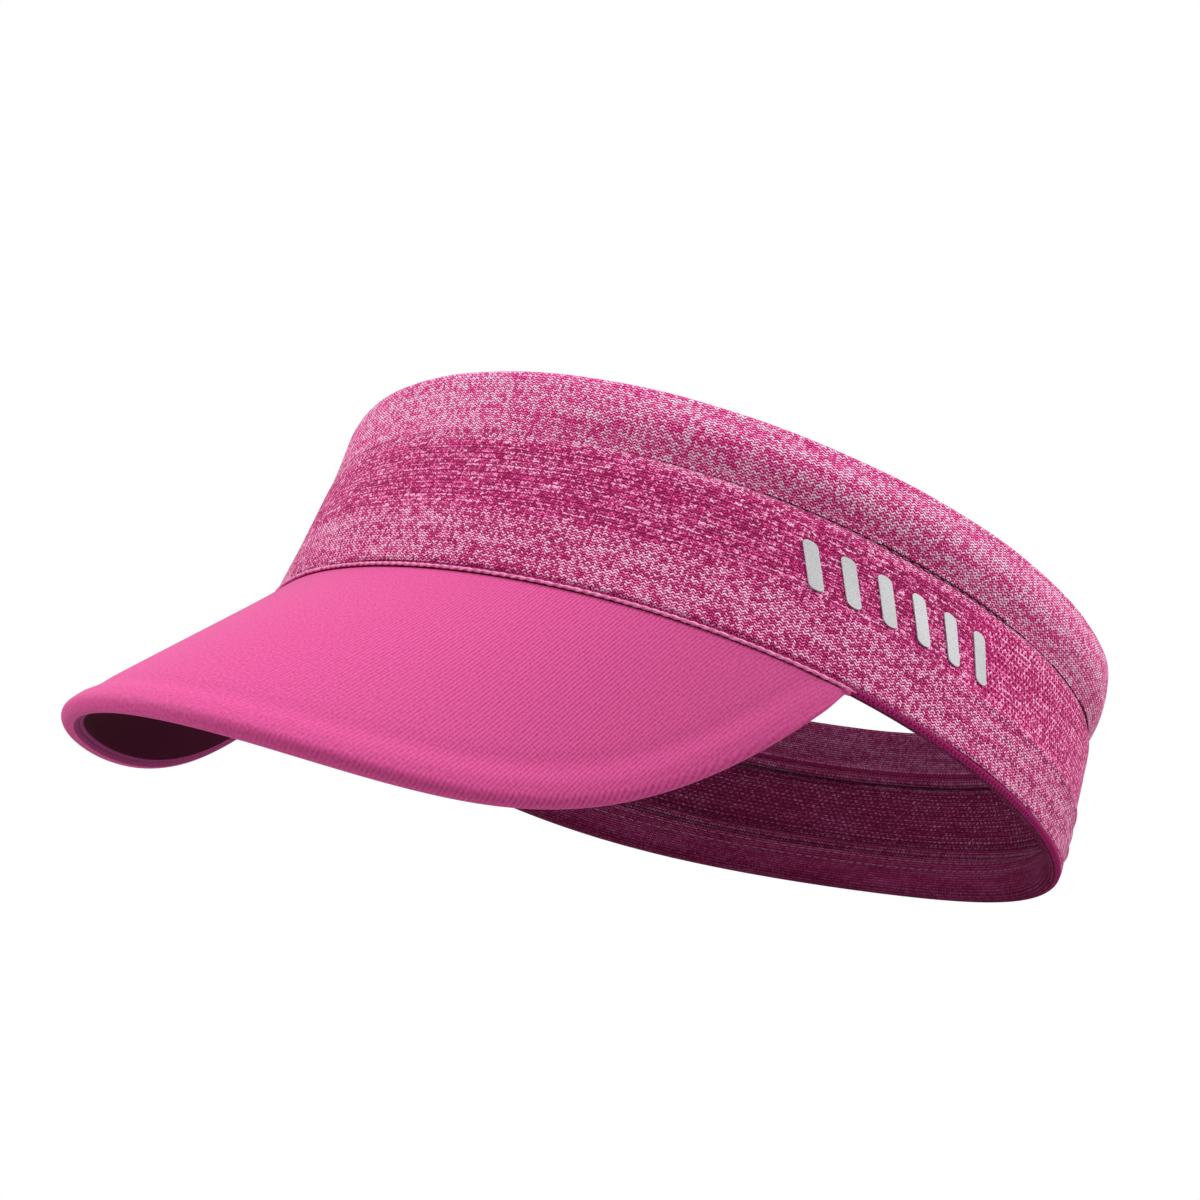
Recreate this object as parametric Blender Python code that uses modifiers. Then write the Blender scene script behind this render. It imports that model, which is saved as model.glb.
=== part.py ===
"""Sports sun visor: a wide stretch-knit headband with a curved, cloth-covered peak.

Frame: metres, +Z up along the band's axis as it is worn level on the head, -Y is the way the
wearer faces and +X is the wearer's left. The origin is the centre of the head opening, at the
height of the band's lower rim.

A place on the band is given by three numbers: the angle round the head from the middle of the
forehead (positive towards +X), the height above the lower rim, and the depth, measured outwards
from the outer face of the knit. A place on the peak is given by how far round it lies, from -1
at the right corner to 1 at the left, and how far out from the seam.
"""

from math import cos, pi, radians, sin

import bmesh
import bpy
from mathutils import Vector

# Band, measured on the outer face of the knit
LOWER_HALF_WIDTH = 0.0905
LOWER_HALF_LENGTH = 0.0970
UPPER_HALF_WIDTH = 0.0880
UPPER_HALF_LENGTH = 0.0980
UPPER_RIM_SHIFT = 0.0042
BAND_HEIGHT = 0.0468
RIM_SAG = 0.0018
RIM_LIFT_BACK = 0.0011
TOP_RISE_BACK = 0.0030
TOP_SAG = 0.0016

# Thicknesses
KNIT = 0.0014
WELT_CLOTH = 0.0011
HEM_CLOTH = 0.0010
WELT_ELASTIC = 0.0012
HEM_ELASTIC = 0.0008
SWEATBAND = 0.0022
SWEATBAND_TAPE = 0.0007
SEAM_MARGIN = 0.0008
CLEARANCE = 0.0003

# Heights along the band
WELT_HEIGHT = 0.0143
WELT_BULGE = 0.0012
WELT_ROUND = 0.0032
WELT_TUCK = 0.0022
WELT_ELASTIC_MARGIN = 0.0024
HEM_HEIGHT = 0.0092
HEM_ELASTIC_HEIGHT = 0.0055
GROOVE = 0.0012
SWEATBAND_TOP_GAP = 0.0033
SWEATBAND_LOW = 0.0006
SWEATBAND_TAPE_HEIGHT = 0.0040
SWEATBAND_EASE_SHARE = 0.6
SEAM_MARGIN_LOW = 0.0004
SEAM_MARGIN_HEIGHT = 0.0080

# Angles round the head, in degrees
PEAK_HALF_ANGLE = 63.0
SEAM_MARGIN_INSET = 2.0
SWEATBAND_HALF_ANGLE = 58.0
SWEATBAND_TAPE_INSET = 0.5

# Peak
PEAK_REACH = 0.0388
PEAK_DROP = 0.0455
PEAK_WAIST = -0.0273
PEAK_SHOULDER = -0.0035
PEAK_SIDE_DIP = 0.0015
PEAK_BOW = 0.0007
PEAK_ROOT_DROP = 0.0012
PEAK_CLOTH = 0.0008
PEAK_BOARD = 0.0016
PEAK_TURN_UNDER = 0.0040
PEAK_STITCH_BACK = 0.0024
BOARD_MARGIN = 0.0012

# A layer of the peak stops where the peak is shorter than this many times the layer's margins
COVER_END = 2.4
LAYER_END = 3.0
STITCH_END = 4.0
SHORTEST_SIDE = 0.8
SIDE_STEP = 0.002
PROBE = 0.01

# Piping, thread and print
PIPING_RADIUS = 0.0007
PIPING_DROP = 0.0002
THREAD_RADIUS = 0.00022
MARK_COUNT = 6
MARK_ANGLE = 66.0
MARK_PITCH_ANGLE = 4.8
MARK_WIDTH_ANGLE = 1.9
MARK_SLANT_ANGLE = 2.4
MARK_HEIGHT = 0.0095
MARK_TOP_GAP = 0.0063
MARK_FILM = 0.00025

# Mesh fineness
RING_STEPS = 60
ARC_STEPS = 30
ROUND_STEPS = 4
SWEATBAND_ROWS = 5
PEAK_ROWS = 6

GROOVE_LOW = BAND_HEIGHT - WELT_HEIGHT - GROOVE
MARK_LOW = GROOVE_LOW - MARK_TOP_GAP - MARK_HEIGHT
SWEATBAND_HEIGHT = BAND_HEIGHT - WELT_HEIGHT - WELT_TUCK - SWEATBAND_TOP_GAP
PEAK_STACK = 2 * PEAK_CLOTH + PEAK_BOARD + 2 * CLEARANCE
HEM_RADIUS = (KNIT + HEM_ELASTIC + 2 * CLEARANCE + HEM_CLOTH) / 2
HEM_DEPTH = -HEM_CLOTH / 2 - 2 * HEM_RADIUS
MARGIN_DEPTH = HEM_DEPTH - HEM_CLOTH / 2 - CLEARANCE - SEAM_MARGIN / 2
SWEATBAND_DEPTH = MARGIN_DEPTH - SEAM_MARGIN / 2 - CLEARANCE - SWEATBAND / 2


def clear_scene():
    for thing in list(bpy.data.objects):
        bpy.data.objects.remove(thing, do_unlink=True)


def band_point(angle, height, depth):
    """A place on the band: angle in radians, height and depth in metres."""
    share = height / BAND_HEIGHT
    low = Vector((
        LOWER_HALF_WIDTH * sin(angle),
        -LOWER_HALF_LENGTH * cos(angle),
        RIM_SAG * cos(2 * angle) - RIM_LIFT_BACK * cos(3 * angle),
    ))
    high = Vector((
        UPPER_HALF_WIDTH * sin(angle),
        UPPER_RIM_SHIFT - UPPER_HALF_LENGTH * cos(angle),
        BAND_HEIGHT - TOP_RISE_BACK * cos(angle) + TOP_SAG * cos(2 * angle),
    ))
    outwards = Vector((sin(angle) / LOWER_HALF_WIDTH, -cos(angle) / LOWER_HALF_LENGTH, 0))
    return low.lerp(high, share) + outwards.normalized() * depth


def peak_edge(side):
    """The free edge of the peak, side running from -1 to 1."""
    turn = side * pi / 2
    corner = band_point(radians(PEAK_HALF_ANGLE), 0, 0)
    nose = LOWER_HALF_LENGTH + PEAK_REACH + corner.y - corner.x - PEAK_WAIST
    spread = (
        corner.x + PEAK_WAIST * cos(turn) + nose * cos(turn) ** 2
        + PEAK_SHOULDER * sin(2 * turn) ** 2
    )
    drop = PEAK_DROP * (1 - abs(side) ** 4) + PEAK_SIDE_DIP * sin(2 * turn) ** 2
    return Vector((spread * sin(turn), corner.y - spread * cos(turn), corner.z - drop))


def peak_surface(side, out):
    """The upper face of the peak, out running from 0 at the seam to 1 at the free edge."""
    root = band_point(side * radians(PEAK_HALF_ANGLE), -PEAK_ROOT_DROP, 0)
    place = root.lerp(peak_edge(side), out)
    return place + Vector((0, 0, PEAK_BOW * 4 * out * (1 - out)))


def peak_axes(side):
    """Unit vectors at the free edge: out of the cloth's face, and away from the peak."""
    along = (peak_edge(side + PROBE) - peak_edge(side - PROBE)).normalized()
    across = (peak_surface(side, 1) - peak_surface(side, 1 - 10 * PROBE)).normalized()
    face = across.cross(along).normalized()
    if face.z < 0:
        face.negate()
    away = along.cross(face).normalized()
    if away.dot(across) < 0:
        away.negate()
    return face, away


def peak_place(side, out, depth):
    """A place in the peak's thickness, depth metres under its upper face."""
    across = peak_surface(side, out + PROBE) - peak_surface(side, out - PROBE)
    along = peak_surface(side + PROBE, out) - peak_surface(side - PROBE, out)
    face = across.cross(along).normalized()
    if face.z < 0:
        face.negate()
    return peak_surface(side, out) - face * depth


def peak_length(side):
    """Seam to free edge, measured square to the free edge."""
    _, away = peak_axes(side)
    return (peak_surface(side, 1) - peak_surface(side, 0)).dot(away)


def material(name, colour, roughness):
    made = bpy.data.materials.new(name)
    made.use_nodes = True
    shader = made.node_tree.nodes["Principled BSDF"]
    shader.inputs["Base Color"].default_value = (*colour, 1)
    shader.inputs["Roughness"].default_value = roughness
    shader.inputs["Metallic"].default_value = 0
    return made


def keep(thing, collection, parent, colour, roughness):
    """Files a finished object: its collection, its parent and its own material."""
    for old in list(thing.users_collection):
        old.objects.unlink(thing)
    collection.objects.link(thing)
    thing.parent = parent
    thing.data.materials.append(material(thing.name, colour, roughness))
    return thing


def bent_sheet(name, columns, rows, place, thickness, ring=False):
    """A grid bent to a shape by place(a, b), a and b from 0 to 1, then given its thickness."""
    shape = bmesh.new()
    bmesh.ops.create_grid(shape, x_segments=columns, y_segments=rows, size=0.5)
    for point in shape.verts:
        point.co = place(point.co.x + 0.5, point.co.y + 0.5)
    if ring:
        bmesh.ops.remove_doubles(shape, verts=shape.verts, dist=0.00001)
    mesh = bpy.data.meshes.new(name)
    shape.to_mesh(mesh)
    shape.free()
    mesh.shade_smooth()
    thing = bpy.data.objects.new(name, mesh)
    wall = thing.modifiers.new("thickness", "SOLIDIFY")
    wall.thickness = thickness
    wall.offset = 0
    wall.use_even_offset = True
    return thing


def ring_sheet(name, path, thickness):
    """A closed band of cloth whose section follows path, a list of (height, depth)."""
    last = len(path) - 1

    def place(a, b):
        height, depth = path[round(b * last)]
        return band_point(a * 2 * pi, height, depth)

    return bent_sheet(name, RING_STEPS, last, place, thickness, ring=True)


def front_sheet(name, path, thickness, half_angle):
    """The same, over part of the front of the band only."""
    last = len(path) - 1

    def place(a, b):
        height, depth = path[round(b * last)]
        return band_point(radians(half_angle) * (2 * a - 1), height, depth)

    return bent_sheet(name, ARC_STEPS, last, place, thickness)


def tube(name, points, radius, closed=False, sides=1):
    """A round strand through points."""
    data = bpy.data.curves.new(name, "CURVE")
    data.dimensions = "3D"
    data.bevel_depth = radius
    data.bevel_resolution = sides
    data.use_fill_caps = not closed
    line = data.splines.new("POLY")
    line.points.add(len(points) - 1)
    for spot, point in zip(line.points, points):
        spot.co = (*point, 1)
    line.use_cyclic_u = closed
    return bpy.data.objects.new(name, data)


def ring_line(height, depth):
    return [band_point(2 * pi * i / RING_STEPS, height, depth) for i in range(RING_STEPS)]


def round_path(height, depth, radius, start, end):
    """An arc in the band's section, angles in degrees from straight outwards."""
    turns = [radians(start + (end - start) * i / ROUND_STEPS) for i in range(ROUND_STEPS + 1)]
    return [(height + radius * sin(t), depth + radius * cos(t)) for t in turns]


def band_body():
    """The knitted middle panel, from the lower fold up to the groove under the welt."""
    bottom = HEM_RADIUS + CLEARANCE
    path = [(bottom + (GROOVE_LOW - bottom) * i / 2, -KNIT / 2) for i in range(3)]
    return ring_sheet("band_body", path, KNIT)


def welt_section():
    """Inner and outer depths of the folded welt, and the radius of its top fold."""
    outer = WELT_BULGE - WELT_CLOTH / 2
    inner = outer - WELT_CLOTH - WELT_ELASTIC - 2 * CLEARANCE
    inner = min(inner, -KNIT - CLEARANCE - WELT_CLOTH / 2)
    return outer, inner, (outer - inner) / 2


def top_welt():
    """The raised upper welt: one cloth folded over the elastic, its ends behind the groove."""
    outer, inner, radius = welt_section()
    low = BAND_HEIGHT - WELT_HEIGHT
    top = BAND_HEIGHT - radius - WELT_CLOTH / 2
    middle = (outer + inner) / 2
    path = [
        (low, outer - WELT_BULGE),
        (low + WELT_ROUND * 3 / 8, outer - WELT_BULGE / 4),
        (low + WELT_ROUND, outer),
    ]
    path += round_path(top, middle, radius, 0, 180)
    path += [(top - WELT_HEIGHT / 3, inner), (low - WELT_TUCK, inner)]
    return ring_sheet("top_welt", path, WELT_CLOTH)


def welt_elastic():
    outer, inner, _ = welt_section()
    middle = (BAND_HEIGHT - WELT_HEIGHT / 2, (outer + inner) / 2)
    half = WELT_HEIGHT / 2 - WELT_ELASTIC_MARGIN
    path = [(middle[0] - half, middle[1]), middle, (middle[0] + half, middle[1])]
    return ring_sheet("welt_elastic", path, WELT_ELASTIC)


def bottom_hem():
    """The lower edge turned inwards and up behind the knit, over its own elastic."""
    middle = -HEM_CLOTH / 2 - HEM_RADIUS
    path = round_path(HEM_RADIUS, middle, HEM_RADIUS, 0, -180)
    path += [(HEM_HEIGHT / 2, HEM_DEPTH), (HEM_HEIGHT, HEM_DEPTH)]
    return ring_sheet("bottom_hem", path, HEM_CLOTH)


def hem_elastic():
    depth = -KNIT - CLEARANCE - HEM_ELASTIC / 2
    low = HEM_RADIUS + CLEARANCE
    return ring_sheet("hem_elastic", [(low, depth), (low + HEM_ELASTIC_HEIGHT, depth)], HEM_ELASTIC)


def peak_seam_margin():
    """The sewn margin of the peak, turned up behind the hem."""
    path = [(SEAM_MARGIN_LOW, MARGIN_DEPTH), (SEAM_MARGIN_HEIGHT, MARGIN_DEPTH)]
    half_angle = PEAK_HALF_ANGLE - SEAM_MARGIN_INSET
    return front_sheet("peak_seam_margin", path, SEAM_MARGIN, half_angle)


def sweatband_lean():
    """The heights where the sweatband leaves the hem's depth and where it reaches the knit's."""
    foot = HEM_HEIGHT + THREAD_RADIUS + CLEARANCE
    rise = SWEATBAND_EASE_SHARE * (SWEATBAND_HEIGHT - SWEATBAND_TAPE_HEIGHT - foot)
    return foot, foot + rise


def sweatband_depth(height):
    """In front of the hem and the seam margin low down, against the knit higher up."""
    foot, end = sweatband_lean()
    high = -KNIT - CLEARANCE - SWEATBAND / 2
    share = min(max((height - foot) / (end - foot), 0), 1)
    return SWEATBAND_DEPTH + (high - SWEATBAND_DEPTH) * share * share * (3 - 2 * share)


def forehead_sweatband():
    foot, end = sweatband_lean()
    heights = [SWEATBAND_LOW]
    heights += [foot + (end - foot) * i / SWEATBAND_ROWS for i in range(SWEATBAND_ROWS + 1)]
    heights.append(SWEATBAND_HEIGHT)
    path = [(height, sweatband_depth(height)) for height in heights]
    return front_sheet("forehead_sweatband", path, SWEATBAND, SWEATBAND_HALF_ANGLE)


def sweatband_tape(name, low):
    """A flat tape that covers one long edge of the sweatband on the side of the head."""
    back = min(sweatband_depth(low), sweatband_depth(low + SWEATBAND_TAPE_HEIGHT))
    depth = back - SWEATBAND / 2 - CLEARANCE - SWEATBAND_TAPE / 2
    path = [(low, depth), (low + SWEATBAND_TAPE_HEIGHT, depth)]
    half_angle = SWEATBAND_HALF_ANGLE - SWEATBAND_TAPE_INSET
    return front_sheet(name, path, SWEATBAND_TAPE, half_angle)


def peak_side_limit(margin):
    """How far round a layer of the peak runs, so that its end is margin clear of the corner."""
    side = 1.0
    while peak_length(side) < margin and side > SHORTEST_SIDE:
        side -= SIDE_STEP
    return side


def peak_top_cover():
    """The upper cloth, which rolls round the free edge and turns under."""
    radius = (PEAK_STACK - PEAK_CLOTH) / 2
    reach = radius + PEAK_CLOTH / 2
    limit = peak_side_limit(COVER_END * reach)
    rows = PEAK_ROWS + ROUND_STEPS + 1

    def place(a, b):
        side = limit * (2 * a - 1)
        row = round(b * rows)
        face, away = peak_axes(side)
        last_out = 1 - reach / peak_length(side)
        if row <= PEAK_ROWS:
            return peak_place(side, last_out * row / PEAK_ROWS, PEAK_CLOTH / 2)
        bend = min(row - PEAK_ROWS, ROUND_STEPS) * pi / ROUND_STEPS
        spot = peak_place(side, last_out, PEAK_CLOTH / 2)
        spot += away * radius * sin(bend) - face * radius * (1 - cos(bend))
        if row == rows:
            spot -= away * min(PEAK_TURN_UNDER, last_out * peak_length(side) / 2)
        return spot

    return bent_sheet("peak_top_cover", ARC_STEPS, rows, place, PEAK_CLOTH)


def peak_layer(name, thickness, depth, root_gap, edge_gap):
    """A flat layer inside the peak, held back from the seam and from the free edge."""
    limit = peak_side_limit(LAYER_END * (root_gap + edge_gap))

    def place(a, b):
        side = limit * (2 * a - 1)
        length = peak_length(side)
        first = root_gap / length
        last = 1 - edge_gap / length
        return peak_place(side, first + (last - first) * b, depth)

    return bent_sheet(name, ARC_STEPS, PEAK_ROWS, place, thickness)


def peak_board():
    depth = PEAK_CLOTH + CLEARANCE + PEAK_BOARD / 2
    edge = PEAK_CLOTH + BOARD_MARGIN
    return peak_layer("peak_board", PEAK_BOARD, depth, BOARD_MARGIN, edge)


def peak_under_cover():
    depth = PEAK_STACK - PEAK_CLOTH / 2
    edge = PEAK_STACK / 2 + PEAK_TURN_UNDER + CLEARANCE
    return peak_layer("peak_under_cover", PEAK_CLOTH, depth, BOARD_MARGIN / 2, edge)


def peak_root_piping():
    """The thin rolled line that covers the seam between band and peak."""
    limit = radians(PEAK_HALF_ANGLE)
    turns = [limit * (2 * i / ARC_STEPS - 1) for i in range(ARC_STEPS + 1)]
    line = [band_point(turn, -PIPING_DROP, PIPING_RADIUS + CLEARANCE) for turn in turns]
    return tube("peak_root_piping", line, PIPING_RADIUS, sides=2)


def welt_seam_thread():
    line = ring_line(GROOVE_LOW + GROOVE / 2, -KNIT / 2)
    return tube("welt_seam_thread", line, THREAD_RADIUS, closed=True, sides=0)


def hem_seam_thread():
    depth = HEM_DEPTH - HEM_CLOTH / 2 - CLEARANCE / 2 - THREAD_RADIUS
    return tube("hem_seam_thread", ring_line(HEM_HEIGHT, depth), THREAD_RADIUS, closed=True, sides=0)


def peak_edge_thread():
    """The row of stitches that holds the turned-under cloth, seen under the peak."""
    depth = PEAK_STACK + CLEARANCE / 2 + THREAD_RADIUS
    edge = PEAK_STACK / 2 + PEAK_STITCH_BACK
    limit = peak_side_limit(STITCH_END * edge)
    line = []
    for i in range(ARC_STEPS + 1):
        side = limit * (2 * i / ARC_STEPS - 1)
        line.append(peak_place(side, 1 - edge / peak_length(side), depth))
    return tube("peak_edge_thread", line, THREAD_RADIUS, sides=0)


def reflective_mark(number):
    """One slanted bar of heat-pressed film on the wearer's left side."""
    middle = MARK_ANGLE + (number - (MARK_COUNT - 1) / 2) * MARK_PITCH_ANGLE

    def place(a, b):
        lean = MARK_SLANT_ANGLE * (b - 0.5)
        angle = radians(middle + MARK_WIDTH_ANGLE * (a - 0.5) - lean)
        return band_point(angle, MARK_LOW + MARK_HEIGHT * b, CLEARANCE + MARK_FILM / 2)

    return bent_sheet(f"reflective_mark_{number + 1}", 2, 2, place, MARK_FILM)


def build():
    clear_scene()
    visor = bpy.data.collections.new("sun_visor")
    bpy.context.scene.collection.children.link(visor)
    centre = bpy.data.objects.new("head_opening_centre", None)
    visor.objects.link(centre)

    heather = (0.62, 0.12, 0.33)
    pink = (0.80, 0.10, 0.33)
    maroon = (0.12, 0.02, 0.06)
    thread = (0.70, 0.15, 0.38)
    keep(band_body(), visor, centre, heather, 0.9)
    keep(top_welt(), visor, centre, heather, 0.9)
    keep(welt_elastic(), visor, centre, (0.85, 0.83, 0.80), 0.8)
    keep(bottom_hem(), visor, centre, (0.35, 0.06, 0.19), 0.9)
    keep(hem_elastic(), visor, centre, (0.85, 0.83, 0.80), 0.8)
    keep(peak_seam_margin(), visor, centre, maroon, 0.9)
    keep(forehead_sweatband(), visor, centre, (0.35, 0.05, 0.18), 0.95)
    tape_top = SWEATBAND_HEIGHT - SWEATBAND_TAPE_HEIGHT
    keep(sweatband_tape("sweatband_lower_tape", SWEATBAND_LOW), visor, centre, maroon, 0.85)
    keep(sweatband_tape("sweatband_upper_tape", tape_top), visor, centre, maroon, 0.85)
    keep(peak_top_cover(), visor, centre, pink, 0.75)
    keep(peak_board(), visor, centre, (0.75, 0.75, 0.72), 0.5)
    keep(peak_under_cover(), visor, centre, maroon, 0.9)
    keep(peak_root_piping(), visor, centre, (0.80, 0.25, 0.48), 0.8)
    keep(welt_seam_thread(), visor, centre, thread, 0.7)
    keep(hem_seam_thread(), visor, centre, thread, 0.7)
    keep(peak_edge_thread(), visor, centre, thread, 0.7)
    for number in range(MARK_COUNT):
        keep(reflective_mark(number), visor, centre, (0.55, 0.55, 0.56), 0.4)


build()
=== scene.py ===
# %% [markdown]
# # A sports sun visor in heather knit
# The frame holds the visor as plain closed solids: a ring of knit with a welt above and a hem
# below, and a curved peak sewn to its lower front edge. This lesson gives each of them the
# shape and the surface of the real cloth. Lengths are in metres, +Z is up along the band's axis
# as it is worn, -Y is the way the wearer faces, and +X is the wearer's left.

# %% Load the frame
from math import pi, radians

import bpy
import numpy as np
from mathutils import Matrix, Vector


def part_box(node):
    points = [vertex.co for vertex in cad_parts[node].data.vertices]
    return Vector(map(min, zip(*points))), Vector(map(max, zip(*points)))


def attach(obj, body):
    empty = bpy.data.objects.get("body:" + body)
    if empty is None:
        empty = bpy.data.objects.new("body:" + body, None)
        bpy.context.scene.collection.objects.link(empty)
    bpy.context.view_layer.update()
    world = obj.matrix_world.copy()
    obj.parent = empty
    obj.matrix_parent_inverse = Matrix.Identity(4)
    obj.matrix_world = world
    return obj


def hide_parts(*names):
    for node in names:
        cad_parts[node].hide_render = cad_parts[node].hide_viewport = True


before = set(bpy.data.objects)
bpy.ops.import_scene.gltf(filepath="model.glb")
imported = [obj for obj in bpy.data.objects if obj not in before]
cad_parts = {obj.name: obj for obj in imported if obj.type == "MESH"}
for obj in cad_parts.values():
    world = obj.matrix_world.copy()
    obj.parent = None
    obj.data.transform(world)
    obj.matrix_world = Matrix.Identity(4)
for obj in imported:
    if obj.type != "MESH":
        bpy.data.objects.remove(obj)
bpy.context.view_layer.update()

# %% [markdown]
# ## The camera
# The visor floats as it does on a head, tipped forwards and to one side, and is seen from a
# little under its rim, so that the far wall shows through the opening. The camera is placed by
# the direction it looks from, its distance and its roll, so that each can be changed alone.

# %% Camera
CAMERA_AZIMUTH = radians(46.44)
CAMERA_ELEVATION = radians(-20.08)
CAMERA_ROLL = radians(18.65)
CAMERA_DISTANCE = 0.4659
CAMERA_TARGET = Vector((-0.0776, 0.0393, 0.0637))
LENS = 47.43


def put_in_scene(name, data):
    thing = bpy.data.objects.new(name, data)
    bpy.context.scene.collection.objects.link(thing)
    return thing


def camera_axes(azimuth, elevation, roll):
    """Right, up and back of a camera that looks at its target from this direction."""
    back = Vector((
        np.sin(azimuth) * np.cos(elevation),
        -np.cos(azimuth) * np.cos(elevation),
        np.sin(elevation),
    ))
    right = Vector((np.cos(azimuth), np.sin(azimuth), 0))
    up = back.cross(right)
    turned = right * np.cos(roll) + up * np.sin(roll)
    return turned, back.cross(turned), back


right, up, back = camera_axes(CAMERA_AZIMUTH, CAMERA_ELEVATION, CAMERA_ROLL)
lens = bpy.data.cameras.new("camera")
lens.lens = LENS
camera = put_in_scene("camera", lens)
turn = Matrix((right, up, back)).transposed().to_4x4()
camera.matrix_world = Matrix.Translation(CAMERA_TARGET + back * CAMERA_DISTANCE) @ turn
bpy.context.scene.camera = camera
print("camera at", [round(x, 3) for x in camera.matrix_world.translation])

# %% [markdown]
# ## Where a place on the visor is
# The band is a short, slightly oval tube whose rims dip and rise as they go round the head, so
# a place on it is an angle round the head, a height above the rim and a depth outwards from the
# outer face of the knit. The driving dimensions are the frame's own, under the same names. Every
# formula takes whole arrays, because a fine cloth has tens of thousands of points.

# %% The band's curve
LOWER_HALF_WIDTH = 0.0905
LOWER_HALF_LENGTH = 0.0970
UPPER_HALF_WIDTH = 0.0880
UPPER_HALF_LENGTH = 0.0980
UPPER_RIM_SHIFT = 0.0042
BAND_HEIGHT = 0.0468
RIM_SAG = 0.0018
RIM_LIFT_BACK = 0.0011
TOP_RISE_BACK = 0.0030
TOP_SAG = 0.0016


def points(x, y, z):
    return np.stack(np.broadcast_arrays(x, y, z), axis=-1).astype(float)


def unit(vectors):
    return vectors / np.linalg.norm(vectors, axis=-1, keepdims=True)


def band_point(angle, height, depth):
    """Places on the band; angle in radians from the forehead, positive to the wearer's left."""
    share = (np.asarray(height) / BAND_HEIGHT)[..., None]
    low = points(
        LOWER_HALF_WIDTH * np.sin(angle),
        -LOWER_HALF_LENGTH * np.cos(angle),
        RIM_SAG * np.cos(2 * angle) - RIM_LIFT_BACK * np.cos(3 * angle),
    )
    high = points(
        UPPER_HALF_WIDTH * np.sin(angle),
        UPPER_RIM_SHIFT - UPPER_HALF_LENGTH * np.cos(angle),
        BAND_HEIGHT - TOP_RISE_BACK * np.cos(angle) + TOP_SAG * np.cos(2 * angle),
    )
    outwards = unit(points(np.sin(angle) / LOWER_HALF_WIDTH, -np.cos(angle) / LOWER_HALF_LENGTH, 0))
    return low + (high - low) * share + outwards * np.asarray(depth)[..., None]


rim = band_point(np.linspace(-pi, pi, 721), np.zeros(721), np.zeros(721))
RIM_LENGTH = float(np.linalg.norm(np.diff(rim, axis=0), axis=1).sum())
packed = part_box("bottom_hem")
print(f"rim {RIM_LENGTH * 1000:.0f} mm round, {np.ptp(rim[:, 0]) * 1000:.1f} mm wide;",
      f"the packed hem is {(packed[1].x - packed[0].x) * 1000:.1f} mm wide")

# %% [markdown]
# ## Where a place on the peak is
# The peak is a curved sheet between two lines: its root on the band's lower rim, and a free edge
# that reaches forwards and droops. A place on it is a side, from -1 at the wearer's right corner
# to 1 at the left, and a share of the way out. Straight lines between the two with a slight bow
# give the real peak's single curve, as bent sheet has.

# %% The peak's curve
PEAK_HALF_ANGLE = radians(63.0)
PEAK_REACH = 0.0388
PEAK_DROP = 0.0455
PEAK_WAIST = -0.0273
PEAK_SHOULDER = -0.0035
PEAK_SIDE_DIP = 0.0015
PEAK_BOW = 0.0007
PEAK_ROOT_DROP = 0.0012
PROBE = 0.01


def peak_edge(side):
    """The free edge of the peak, side running from -1 at the right corner to 1 at the left."""
    turn = side * pi / 2
    corner = band_point(np.array(PEAK_HALF_ANGLE), 0.0, 0.0)
    nose = LOWER_HALF_LENGTH + PEAK_REACH + corner[1] - corner[0] - PEAK_WAIST
    spread = (
        corner[0] + PEAK_WAIST * np.cos(turn) + nose * np.cos(turn) ** 2
        + PEAK_SHOULDER * np.sin(2 * turn) ** 2
    )
    drop = PEAK_DROP * (1 - np.abs(side) ** 4) + PEAK_SIDE_DIP * np.sin(2 * turn) ** 2
    return points(spread * np.sin(turn), corner[1] - spread * np.cos(turn), corner[2] - drop)


def peak_surface(side, out):
    """The upper face of the peak, out running from 0 at the seam to 1 at the free edge."""
    side, out = np.broadcast_arrays(np.asarray(side, float), np.asarray(out, float))
    root = band_point(side * PEAK_HALF_ANGLE, np.full(side.shape, -PEAK_ROOT_DROP), 0 * side)
    place = root + (peak_edge(side) - root) * out[..., None]
    return place + points(0 * out, 0 * out, PEAK_BOW * 4 * out * (1 - out))


def peak_frame(side, out):
    """Unit vectors on the peak: out of its upper face, and away towards the free edge."""
    across = peak_surface(side, out + PROBE) - peak_surface(side, out - PROBE)
    along = peak_surface(side + PROBE, out) - peak_surface(side - PROBE, out)
    face = unit(np.cross(along, across))
    face = face * np.sign(face[..., 2:])
    away = unit(np.cross(face, along))
    return face, away * np.sign(np.sum(away * across, axis=-1, keepdims=True))


def peak_length(side):
    """Seam to free edge, measured square to the free edge."""
    _, away = peak_frame(side, np.ones_like(side))
    return np.sum((peak_surface(side, 1.0) - peak_surface(side, 0.0)) * away, axis=-1)


print(f"peak {peak_length(np.array([0.0]))[0] * 1000:.1f} mm long at the middle")

# %% [markdown]
# ## Cloth as a grid of places
# A sewn cloth is a sheet whose every place is known: so far round, so far across. It is laid out
# as a grid, its points are put where the formulas say, and Solidify then gives it its thickness,
# as a tailor's cloth has. Its map is in metres of cloth, so that one stitch is as wide anywhere.
# A section of a fold is a few points, and a smooth curve through them gives the rows.

# %% Grid, section and thickness
def smooth_weights(count, steps):
    """How much each of count points weighs at each row of the smooth curve through them."""
    rows = []
    padded_points = np.vstack([2 * np.eye(count)[0] - np.eye(count)[1], np.eye(count),
                               2 * np.eye(count)[-1] - np.eye(count)[-2]])
    for span in range(count - 1):
        a, b, c, d = padded_points[span:span + 4]
        for step in range(steps):
            t = step / steps
            rows.append(b + t * (c - a) / 2 + t * t * (2 * a - 5 * b + 4 * c - d) / 2
                        + t ** 3 * (3 * b - a - 3 * c + d) / 2)
    return np.array(rows + [np.eye(count)[-1]])


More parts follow.
